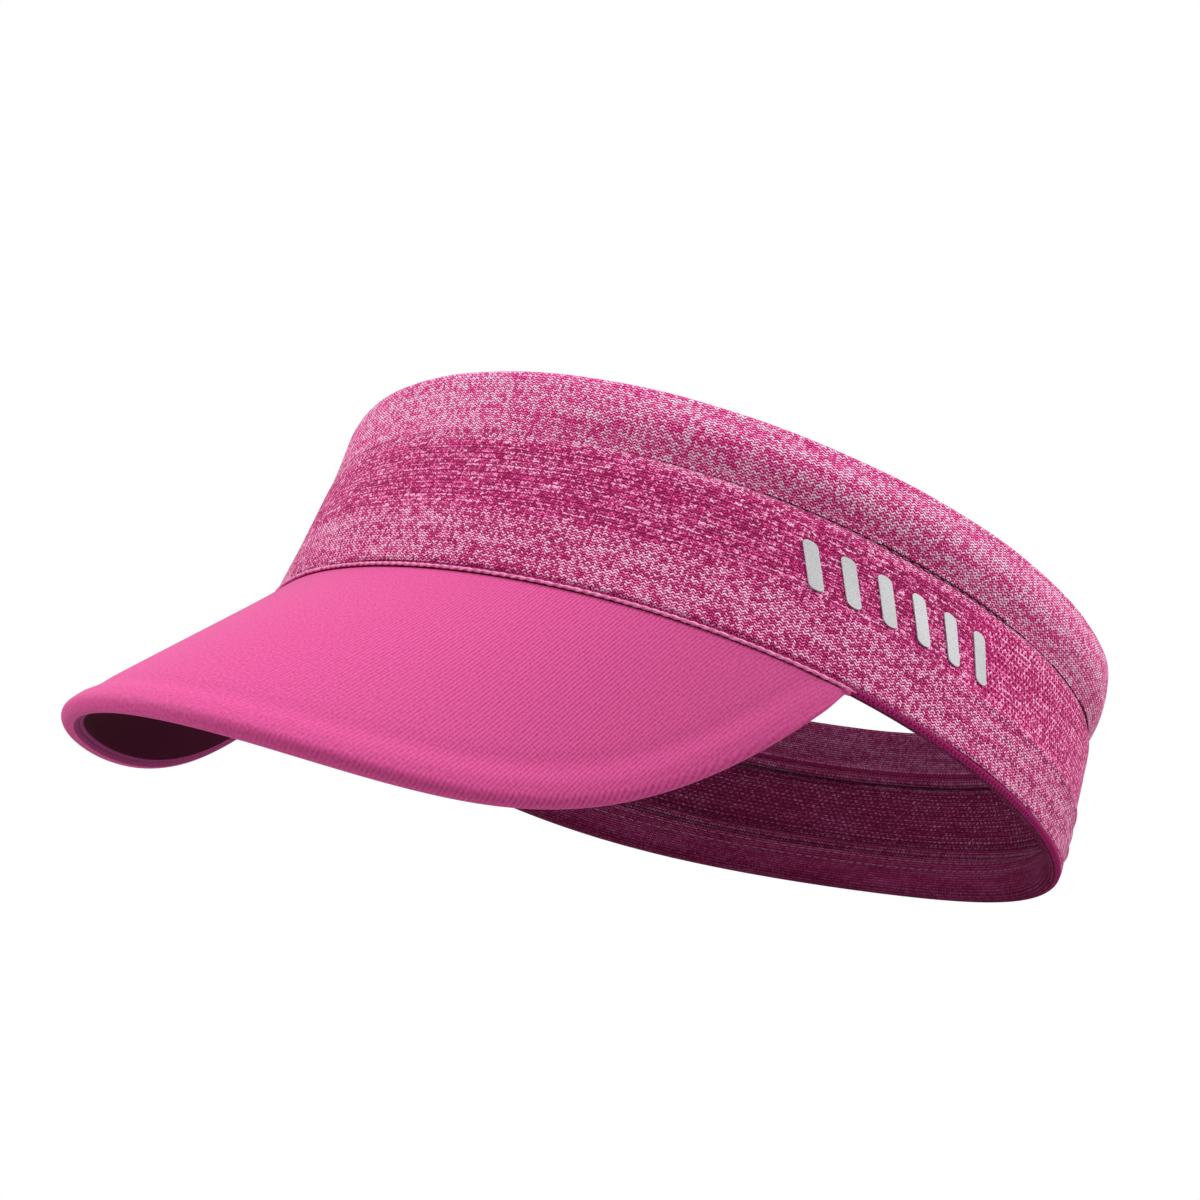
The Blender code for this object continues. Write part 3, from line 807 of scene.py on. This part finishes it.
# %% [markdown]
# ## Peak cover and lining
# The cover is one sheet from under the hem to the end of its turned edge, and the lining a
# second one beneath the board. Both are cut from a flat fan, so their map is a fan too and the
# twill keeps its direction. They are formed here rather than draped, since they are held taut.

# %% Peak cover and lining
PEAK_CLOTH = 0.0008
PEAK_STACK = 0.0038
ROLL_RADIUS = (PEAK_STACK - PEAK_CLOTH) / 2
ROLL_REACH = ROLL_RADIUS + PEAK_CLOTH / 2
TAPER_LENGTH = 0.015
SEAM_RADIUS_FLAT = 0.234
FAN_HALF_ANGLE = 0.44
PAINTED_SHADE_STRIPS = 34
SIDE_LIMIT = 0.992
STEADY_SIDE = 0.965
ROOT_STRIP = 0.0040
ROOT_STRIP_HEIGHT = -0.00165
CORNER_TUCK = 0.0005
CORNER_RISE = 0.0006
SWELL = 0.00022
SWELL_AT = 0.0016
HOLLOW = 0.00016
HOLLOW_AT = 0.0052
HOLLOW_WIDTH = 0.0017
LINING_LIMIT = 0.945
LINING_GAP = 0.0008
PUFF = 0.0006
# Away from the edge and down from the cover's middle face, in metres, after the half circle.
TURNED = [
    (-0.00015, 0.00290), (-0.00028, 0.00267), (-0.00040, 0.00258), (-0.00052, 0.00276),
    (-0.00066, 0.00306), (-0.00084, 0.00316), (-0.00099, 0.00300), (-0.00102, 0.00250),
]


def chart_on_peak(side, run):
    """The cloth laid flat is a fan: side turns it and run goes out from the seam."""
    turn = side * FAN_HALF_ANGLE
    reach = SEAM_RADIUS_FLAT + run
    return points(reach * np.sin(turn), -reach * np.cos(turn), 0)[..., :2]


def peak_taper(side):
    """The peak's length and how full its edge is: whole in the middle, thin at the corners."""
    length = peak_length(side)
    return length, step_up(-0.15, 1.0, length / TAPER_LENGTH)


def peak_cover():
    """From under the hem, over the board, round the edge and under; a swell follows the edge."""
    sides = np.linspace(-SIDE_LIMIT, SIDE_LIMIT, 241)
    length, scale = peak_taper(sides)
    last = 1 - np.minimum((ROLL_RADIUS * scale + PEAK_CLOTH / 2) / length, 0.9)
    steady = np.clip(sides, -STEADY_SIDE, STEADY_SIDE)
    face, away = peak_frame(steady, np.ones_like(sides))
    rows = [
        band_point(sides * PEAK_HALF_ANGLE, np.full(sides.shape, ROOT_STRIP_HEIGHT), -inwards * scale)
        for inwards in (ROOT_STRIP, ROOT_STRIP / 2)
    ]
    for out in np.linspace(0, 1, 57):
        face_here, _ = peak_frame(steady, last * out)
        to_edge = (1 - out) * last * length
        soft = SWELL * np.exp(-(to_edge - SWELL_AT) ** 2 / SWELL_AT ** 2)
        soft -= HOLLOW * np.exp(-(to_edge - HOLLOW_AT) ** 2 / HOLLOW_WIDTH ** 2)
        lift = (soft * scale - PEAK_CLOTH / 2)[:, None]
        rows.append(peak_surface(sides, last * out) + face_here * lift)
    start = rows[-1]
    for bend in np.linspace(0, pi, 15)[1:]:
        aside = ROLL_RADIUS * np.sin(bend)
        down = ROLL_RADIUS * (1 - np.cos(bend))
        rows.append(start + (away * aside - face * down) * scale[:, None])
    under = [(0.0, 2 * ROLL_RADIUS)] + TURNED
    for aside, down in (smooth_weights(len(under), 4) @ np.array(under))[1:]:
        rows.append(start + (away * aside - face * down) * scale[:, None])
    places = np.stack(rows, axis=1)
    caught = step_up(STEADY_SIDE - 0.01, SIDE_LIMIT, np.abs(sides))[:, None, None]
    outwards = unit(places * (1, 1, 0))
    places = places + caught * (points(0, 0, CORNER_RISE) - outwards * CORNER_TUCK)
    runs = run_along(places)
    thing = grid_mesh("peak_cover", places[:, ::-1], chart_on_peak(sides[:, None], runs)[:, ::-1],
                      closed=False)
    strips = places.shape[1] - 1
    # The last strips, round the end of the roll and under, take the darker twill: painted shade.
    for face in thing.data.polygons:
        face.material_index = int(face.index % strips < PAINTED_SHADE_STRIPS)
    thicken(thing, PEAK_CLOTH, (peak_twill, turned_twill_painted_shade), even=False, lined=False)
    return thing, float(runs[len(sides) // 2, -1])


def peak_lining():
    """The cloth under the board, from the seam to just inside the rolled edge."""
    sides = np.linspace(-LINING_LIMIT, LINING_LIMIT, 181)
    length, scale = peak_taper(sides)
    last = 1 - (ROLL_REACH + LINING_GAP) * scale / length
    rows = []
    for out in np.linspace(0.01, 1, 41):
        face_here, _ = peak_frame(sides, last * out)
        puff = PUFF * np.sin(pi * out) ** 0.7
        down = PEAK_CLOTH * 0.9 + (PEAK_STACK - PEAK_CLOTH * 1.4 + puff) * scale
        rows.append(peak_surface(sides, last * out) - face_here * down[:, None])
    places = np.stack(rows, axis=1)
    runs = run_along(places)
    thing = grid_mesh("peak_lining", places, chart_on_peak(sides[:, None], runs), closed=False)
    thicken(thing, PEAK_CLOTH, (lining_twill_painted_shade,))
    return thing, float(runs[len(sides) // 2, -1])


cover, cover_cut = peak_cover()
lining, lining_cut = peak_lining()
for piece, node, slot in ((cover, "peak_top_cover", "peak_cloth"),
                          (lining, "peak_under_cover", "under_cloth")):
    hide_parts(node)
    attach(piece, "root")
print("peak cover", len(cover.data.polygons), "faces; cut", round(cover_cut * 1000, 1), "mm deep;",
      "lining", round(lining_cut * 1000, 1), "mm")

# %% [markdown]
# ## The piping along the seam
# A thin two-ply cord lies in the seam between band and peak, just under the knit's edge, and
# covers its stitches. It is a tube whose outline has two lobes, and turning the outline as it
# goes along lays up the plies. Its ends run out thin at the corners of the peak.

# %% Piping
PIPING_RADIUS = 0.00031
PIPING_TWIST = 0.0018
PIPING_DROP = 0.00045
PIPING_OUT = 0.00010
PIPING_END = 0.004
PLY_LOBE = 0.22


def piping_material():
    """Cord. To the eye it is a row of pale glints between magenta shadows, without a highlight."""
    made, tree, shader = new_material("two-ply polyester cord")
    mm = cloth_millimetres(tree)
    ply = add(tree, "TexNoise", {"Vector": mm, "Scale": 0.55, "Detail": 2.0}, noise_dimensions="2D")
    hair = add(tree, "TexNoise", {"Vector": mm, "Scale": 3.0, "Detail": 2.0}, noise_dimensions="2D")
    share = add(tree, "Math", {0: ply, 1: 1.6, 2: -0.35}, operation="MULTIPLY_ADD")
    share = add(tree, "Math", {0: hair, 1: 0.5, 2: share}, operation="MULTIPLY_ADD", use_clamp=True)
    colour = add(tree, "Mix", {0: share, 6: linear("#b01f6a"), 7: linear("#f09ac6")}, out=2,
                 data_type="RGBA")
    bump = add(tree, "Bump", {"Height": hair, "Strength": 0.4, "Distance": 0.0001})
    dress(tree, shader, colour, {"Roughness": 0.75, "Specular IOR Level": 0.15}, bump)
    return made


def twisted_piping():
    turns = np.linspace(-PEAK_HALF_ANGLE, PEAK_HALF_ANGLE, 760)
    line = band_point(turns, np.full(turns.shape, -PIPING_DROP), np.full(turns.shape, PIPING_OUT))
    run = run_along(line)
    thin = np.clip(np.minimum(run, run[-1] - run) / PIPING_END, 0.02, 1) ** 0.5
    outwards = unit(line * (1, 1, 0))
    around = np.linspace(0, 2 * pi, 14)[:-1]
    lobes = 1 + PLY_LOBE * np.cos(2 * (around[:, None] - pi * run[None, :] / PIPING_TWIST))
    radius = (PIPING_RADIUS * thin[None, :] * lobes)[..., None]
    ring = np.cos(around)[:, None, None] * outwards[None] + np.sin(around)[:, None, None] * (0, 0, 1)
    chart = points(run[None, :], np.linspace(0, 2 * pi, 14)[:, None] * PIPING_RADIUS, 0)[..., :2]
    thing = grid_mesh("root_piping", line[None] + ring * radius, chart, closed=True)
    close_form(thing)
    return thing


piping = twisted_piping()
piping.data.materials.append(piping_material())
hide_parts("peak_root_piping")
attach(piping, "root")
print("root_piping:", len(piping.data.polygons), "faces")

# %% [markdown]
# ## Stitches
# Every seam is a row of short thread humps. One stitch is modelled from a small sphere, drawn
# out and flattened, and copied along each seam every 2.6 mm, the spacing of a real overlock.
# Each thread is dyed like its cloth: maroon in the hem and pink along the peak's edge. In the
# groove under the welt, where it lies deeper in front, the thread is a magenta darker than the welt:
# painted shade for the groove.

# %% Stitch rows
STITCH_PITCH = 0.0026
STITCH_LENGTH = 0.0019
THREAD_RADIUS = 0.00022
EDGE_STITCH_AWAY = 0.00036
EDGE_STITCH_DOWN = 0.00296
THREAD_GLOSS = 0.45
FIBRES = {"Scale": 2600.0, "Detail": 2.0}


def one_stitch():
    bpy.ops.object.select_all(action="DESELECT")
    bpy.ops.mesh.primitive_uv_sphere_add(segments=6, ring_count=5, radius=1)
    thing = bpy.context.object
    bpy.ops.object.mode_set(mode="EDIT")
    bpy.ops.transform.rotate(value=pi / 2, orient_axis="Y", center_override=(0, 0, 0))
    bpy.ops.transform.resize(value=(STITCH_LENGTH / 2, THREAD_RADIUS * 1.2, THREAD_RADIUS))
    bpy.ops.mesh.faces_shade_smooth()
    bpy.ops.object.mode_set(mode="OBJECT")
    return thing


def stitch_row(name, lines, finish, node):
    """Copies the stitch along lines, each (places, outward normals)."""
    pattern = one_stitch()
    corners = np.array([v.co for v in pattern.data.vertices])
    rings = [tuple(p.vertices) for p in pattern.data.polygons]
    bpy.data.objects.remove(pattern)
    places, faces = [], []
    for line, normals in lines:
        run = run_along(line)
        for spot in np.arange(STITCH_PITCH / 2, run[-1], STITCH_PITCH):
            ends = [np.array([np.interp(spot + d, run, line[:, k]) for k in range(3)])
                    for d in (-STITCH_LENGTH / 2, STITCH_LENGTH / 2)]
            normal = unit(np.array([np.interp(spot, run, normals[:, k]) for k in range(3)]))
            along = unit(ends[1] - ends[0])
            side = unit(np.cross(normal, along))
            base = len(places) * len(corners)
            places.append(sum(ends) / 2 + corners @ np.array([along, side, np.cross(along, side)]))
            faces += [tuple(base + v for v in ring) for ring in rings]
    mesh = bpy.data.meshes.new(name)
    mesh.from_pydata(np.concatenate(places).tolist(), [], faces)
    mesh.shade_smooth()
    mesh.materials.append(finish)
    thing = put_in_scene(name, mesh)
    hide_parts(node)
    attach(thing, "root")
    print(name + ":", len(places), "stitches")
    return thing


def band_line(height, depth, inwards, sunk=0.0):
    """A line round the band and its normals, sunk deeper by this much over the forehead."""
    turns = np.linspace(-pi, pi, 721)
    line = band_point(turns, np.full(721, height), depth - sunk * (1 - at_sides(turns)))
    return line, unit(line * (1, 1, 0)) * (-1 if inwards else 1)


def edge_line():
    """Under the peak, in the groove between the rolled edge and the folded bead."""
    sides = np.linspace(-0.95, 0.95, 400)
    length, scale = peak_taper(sides)
    face, away = peak_frame(sides, np.ones_like(sides))
    face_here, _ = peak_frame(sides, 1 - ROLL_REACH * scale / length)
    start = peak_surface(sides, 1 - ROLL_REACH * scale / length) - face_here * PEAK_CLOTH / 2
    line = start - (away * EDGE_STITCH_AWAY + face * EDGE_STITCH_DOWN) * scale[:, None]
    return line, -face


# Spun thread is a little glossier than the cloths, so that each stitch catches the light.
pink_thread, maroon_thread, groove_thread_painted_shade = (
    two_tone(f"{colour} sewing thread", dark, light, THREAD_GLOSS, "TexNoise", FIBRES)
    for colour, dark, light in (("pink", "#a32465", "#d4689e"), ("maroon", "#430820", "#6a2344"),
                                ("magenta", "#7c1a4c", "#a83c76"))
)
stitch_row("hem_stitches", [band_line(0.0062, -0.00408, True), band_line(0.0083, -0.00404, True)],
           maroon_thread, "hem_seam_thread")
# The groove's thread is darker than the welt around it: painted shade in the groove.
stitch_row("welt_stitches", [band_line(GROOVE_LOW + 0.0002, -0.0012, False, sunk=0.0006)],
           groove_thread_painted_shade, "welt_seam_thread")
stitch_row("edge_stitches", [edge_line()], pink_thread, "peak_edge_thread")

# %% [markdown]
# ## The sweatband and what is sewn with it
# Behind the forehead lies a strip of terry over thin foam. It is crowned between its two edge
# tapes and pulled flat where they are sewn, and its ends run out to nothing. It is a closed
# form made directly, because the strip is only two millimetres thick and held all round.

# %% Sweatband, tapes and seam margin
SWEATBAND_HALF_ANGLE = radians(58.0)
SWEATBAND_LOW = 0.0006
SWEATBAND_HIGH = 0.0270
SWEATBAND = 0.0022
TAPE_HEIGHT = 0.0040
LEAN_START = 0.0097
LEAN_END = 0.0177
BACK_LOW = -0.0069
BACK_HIGH = -0.0028
PAD_LENGTH_FLAT = 0.205
PAD_GIRTH = 0.057
TAPE = 0.0007
TAPE_LIFT = 0.0008
MARGIN_LOW = -0.0016
MARGIN_HIGH = 0.0108
MARGIN_DEPTH = -0.0048
MARGIN_CLOTH = 0.0008
MARGIN_HALF_ANGLE = PEAK_HALF_ANGLE - radians(2)


def sweatband_depth(height):
    """The middle of the sweatband: off the hem low down, against the knit higher up."""
    return BACK_LOW + (BACK_HIGH - BACK_LOW) * step_up(LEAN_START, LEAN_END, height)


def terry_material():
    """Looped cotton. To the eye it is deep, matt and grainy, one grain for each loop."""
    made, tree, shader = new_material("cotton terry")
    mm = cloth_millimetres(tree)
    loops = add(tree, "TexVoronoi", {"Vector": mm, "Scale": 1.05}, voronoi_dimensions="2D")
    cell = loops.node.outputs["Color"]
    up = add(tree, "MapRange", {"Value": loops, "From Max": 0.6, "To Min": 1.0, "To Max": 0.0})
    tint = add(tree, "SeparateColor", {0: cell})
    share = add(tree, "Math", {0: tint, 1: 0.5, 2: up}, operation="MULTIPLY_ADD")
    colour = add(tree, "Mix", {0: share, 6: linear("#4a0e2b"), 7: linear("#8a2c5a")}, out=2,
                 data_type="RGBA")
    bump = add(tree, "Bump", {"Height": up, "Strength": 0.9, "Distance": 0.0005})
    looks = {"Roughness": 0.95, "Sheen Weight": 0.5, "Specular IOR Level": 0.15}
    dress(tree, shader, colour, looks, bump)
    return made


def sweatband():
    turns = np.linspace(-SWEATBAND_HALF_ANGLE, SWEATBAND_HALF_ANGLE, 221)
    around = np.linspace(0, 2 * pi, 57)[:-1]
    end = np.clip((SWEATBAND_HALF_ANGLE - np.abs(turns)) / radians(3.0), 0.0001, 1) ** 0.5
    middle = (SWEATBAND_LOW + SWEATBAND_HIGH) / 2
    half = (SWEATBAND_HIGH - SWEATBAND_LOW) / 2
    flat_up = np.sign(np.sin(around)) * np.abs(np.sin(around)) ** 0.55
    flat_out = np.sign(np.cos(around)) * np.abs(np.cos(around)) ** 0.55
    height = middle + half * flat_up[:, None] * (0.75 + 0.25 * end[None, :])
    crown = 1 + 0.75 * (flat_out[:, None] < 0) * (1 - np.abs(height - middle) / half) ** 0.6
    bumps = 1 + 0.10 * np.sin(turns[None, :] * 90) * (flat_out[:, None] < 0)
    depth = sweatband_depth(height) + flat_out[:, None] * SWEATBAND / 2 * end[None, :] * crown * bumps
    places = band_point(np.broadcast_to(turns[None, :], height.shape), height, depth)
    chart = points(np.linspace(0, PAD_LENGTH_FLAT, 221)[None, :],
                   np.linspace(0, PAD_GIRTH, 57)[:, None], 0)[..., :2]
    thing = grid_mesh("forehead_pad", places, chart, closed=True)
    close_form(thing)
    return thing


def front_cloth(name, low, high, depth, half_angle, thickness, finish, node):
    """A strip of cloth over the front of the band, between two heights."""
    turns = np.linspace(-half_angle, half_angle, 181)
    heights = np.linspace(low, high, 9)
    crown = 1 - ((heights - heights.mean()) / (high - low) * 2) ** 4
    grid_turns, grid_heights = np.meshgrid(turns, heights, indexing="ij")
    places = band_point(grid_turns, grid_heights, depth(grid_heights) - 0.00025 * crown[None, :])
    chart = points(grid_turns * LOWER_HALF_LENGTH, grid_heights, 0)[..., :2]
    thing = grid_mesh(name, places, chart, closed=False)
    thicken(thing, thickness, (finish,))
    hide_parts(node)
    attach(thing, "root")
    return thing


pad = sweatband()
pad.data.materials.append(terry_material())
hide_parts("forehead_sweatband")
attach(pad, "root")
tape_twill = twill("maroon cotton tape", "#6e1a40", "#3f0c25", 0.5, nap=0.1, shine=0.1)
for name, low, node in (
    ("lower_tape", SWEATBAND_LOW + 0.0002, "sweatband_lower_tape"),
    ("upper_tape", SWEATBAND_HIGH - TAPE_HEIGHT - 0.0002, "sweatband_upper_tape"),
):
    front_cloth(name, low, low + TAPE_HEIGHT,
                lambda height: sweatband_depth(height) - SWEATBAND / 2 - TAPE_LIFT,
                SWEATBAND_HALF_ANGLE - radians(0.5), TAPE, tape_twill, node)
# The seam margin takes the lining twill, whose darkness is partly painted shade.
margin = front_cloth("seam_margin", MARGIN_LOW, MARGIN_HIGH, lambda height: height * 0 + MARGIN_DEPTH,
                     MARGIN_HALF_ANGLE, MARGIN_CLOTH, lining_twill_painted_shade, "peak_seam_margin")
print("forehead_pad:", len(pad.data.polygons), "faces, with two tapes and the seam margin")

# %% [markdown]
# ## The reflective bars
# A row of slanted bars of heat-pressed film sits on the wearer's left. One bar is a plane with
# its corners beveled off and its inside subdivided, so that it can bend. It is then laid on the
# band by its angle and height, and Solidify gives it the film's thickness.

# %% Bars
BAR_COUNT = 6
BAR_ANGLE = 66.0
BAR_PITCH = 4.8
BAR_WIDTH = 1.9
BAR_SLANT = 2.4
BAR_HEIGHT = 0.0095
BAR_LOW = GROOVE_LOW - 0.0063 - BAR_HEIGHT
FILM = 0.00025
FILM_LIFT = 0.00022


def film_material():
    """Film over glass beads. To the eye it is pale grey, faintly grained and half glossy."""
    made, tree, shader = new_material("reflective transfer film")
    place = add(tree, "TexCoord", out=3)
    beads = add(tree, "TexVoronoi", {"Vector": place, "Scale": 4200.0})
    share = add(tree, "MapRange", {"Value": beads, "From Max": 0.7})
    colour = add(tree, "Mix", {0: share, 6: linear("#cfced0"), 7: linear("#b4b3b6")}, out=2,
                 data_type="RGBA")
    bump = add(tree, "Bump", {"Height": beads, "Strength": 0.25, "Distance": 0.00004})
    dress(tree, shader, colour, {"Roughness": 0.42, "Specular IOR Level": 0.5}, bump)
    return made


def bar(number, finish):
    bpy.ops.object.select_all(action="DESELECT")
    bpy.ops.mesh.primitive_plane_add(size=1)
    thing = bpy.context.object
    thing.name = f"reflective_bar_{number + 1}"
    bpy.ops.object.mode_set(mode="EDIT")
    bpy.ops.mesh.select_all(action="SELECT")
    bpy.ops.transform.resize(value=(1, 4, 1))
    bpy.ops.mesh.bevel(offset=0.42, segments=5, affect="VERTICES")
    bpy.ops.mesh.poke()
    bpy.ops.mesh.subdivide(number_cuts=3)
    bpy.ops.object.mode_set(mode="OBJECT")
    middle = BAR_ANGLE + (number - (BAR_COUNT - 1) / 2) * BAR_PITCH
    flat = np.array([v.co for v in thing.data.vertices])
    up = flat[:, 1] / 4 + 0.5
    turns = np.radians(middle + BAR_WIDTH * flat[:, 0] - BAR_SLANT * (up - 0.5))
    heights = BAR_LOW + BAR_HEIGHT * up
    lift = FILM_LIFT + drape(turns, heights) + ribs(turns, heights)
    thing.data.vertices.foreach_set("co", band_point(turns, heights, lift).astype(np.float32).ravel())
    wall = thing.modifiers.new("film", "SOLIDIFY")
    wall.thickness = FILM
    wall.offset = 0
    apply_modifiers(thing)
    bpy.ops.object.mode_set(mode="EDIT")
    bpy.ops.mesh.select_all(action="SELECT")
    bpy.ops.mesh.normals_make_consistent(inside=False)
    bpy.ops.object.mode_set(mode="OBJECT")
    bpy.ops.object.shade_smooth_by_angle(angle=radians(40))
    thing.data.materials.append(finish)
    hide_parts(f"reflective_mark_{number + 1}")
    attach(thing, "root")
    return thing


film = film_material()
bars = [bar(number, film) for number in range(BAR_COUNT)]
print("bars:", len(bars), "each", len(bars[0].data.polygons), "faces")

# %% [markdown]
# ## What is hidden inside
# The elastics and the peak's board keep their frame solids, because nothing shows of them, and
# take a fitting finish: ribbed woven elastic, and milky polyethylene sheet.

# %% Hidden pieces
# Woven elastic is to the eye a matt cream with ribs, and the sheet is milky and a little waxy.
elastic = two_tone("woven elastic", "#cfcac2", "#f0ede6", 0.75, "TexWave",
                   {"Scale": 160.0, "Distortion": 0.4}, bands_direction="Z")
board = two_tone("polyethylene sheet", "#cfd0c8", "#e4e5df", 0.4, "TexNoise",
                 {"Scale": 60.0, "Detail": 3.0})
for name, finish in (("welt_elastic", elastic), ("hem_elastic", elastic), ("peak_board", board)):
    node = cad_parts[name]
    node.data.materials.clear()
    node.data.materials.append(finish)
print("carried over: welt_elastic, hem_elastic, peak_board")

# %% [markdown]
# ## Floor and light
# The studio is white: a round matt floor well below the visor, a surround that is bright above
# and nearly dark below, and three wide soft lights. One stands in front, a little to the
# wearer's right, one is high up behind on the left, and one hangs overhead, so that the near
# side of the band comes out a little deeper than its two ends and the peak's underside stays dark.

# %% Studio
FLOOR_DROP = 1.0
FLOOR_RADIUS = 1.6
SURROUND_SEEN = 1.0
SURROUND_ABOVE = 0.70
SURROUND_BELOW = 0.05
SOFTBOXES = (
    ("front_softbox", (-0.80, -1.35, 0.45), 1.0, 20.5),
    ("side_softbox", (1.10, 0.45, 0.95), 0.9, 13.5),
    ("top_softbox", (0.35, -0.25, 1.35), 1.2, 13.5),
)


def floor():
    bpy.ops.object.select_all(action="DESELECT")
    bpy.ops.mesh.primitive_circle_add(vertices=128, radius=FLOOR_RADIUS, fill_type="NGON",
                                      location=(0, 0, -FLOOR_DROP))
    thing = bpy.context.object
    thing.name = "floor"
    bpy.ops.object.transform_apply(location=True)
    paint = two_tone("matt white paint", "#e6e6e6", "#ececec", 0.9, "TexNoise",
                     {"Scale": 4.0, "Detail": 4.0})
    thing.data.materials.append(paint)


def surround():
    """White where the camera sees it, and graded from below to above where it lights things."""
    world = bpy.data.worlds.new("surround")
    bpy.context.scene.world = world
    world.use_nodes = True
    tree = world.node_tree
    seen = add(tree, "Background", {"Color": (1, 1, 1, 1), "Strength": SURROUND_SEEN})
    way = add(tree, "TexCoord", out=0)
    upwards = add(tree, "SeparateXYZ", {0: way}, out=2)
    strength = add(tree, "MapRange", {"Value": upwards, "From Min": -0.15, "From Max": 0.45,
                                      "To Min": SURROUND_BELOW, "To Max": SURROUND_ABOVE})
    light = add(tree, "Background", {"Color": (1, 1, 1, 1), "Strength": strength})
    ray = add(tree, "LightPath")
    both = add(tree, "MixShader", {0: ray, 1: light, 2: seen})
    tree.links.new(both, tree.nodes["World Output"].inputs["Surface"])


def softbox(name, place, size, power):
    lamp = bpy.data.lights.new(name, "AREA")
    lamp.size = size
    lamp.energy = power
    thing = put_in_scene(name, lamp)
    thing.location = place
    thing.rotation_euler = (Vector((0, 0, 0.02)) - thing.location).to_track_quat("-Z", "Y").to_euler()


floor()
surround()
for box in SOFTBOXES:
    softbox(*box)
bpy.context.scene.view_settings.view_transform = "Standard"
print("lights:", [box[0] for box in SOFTBOXES])
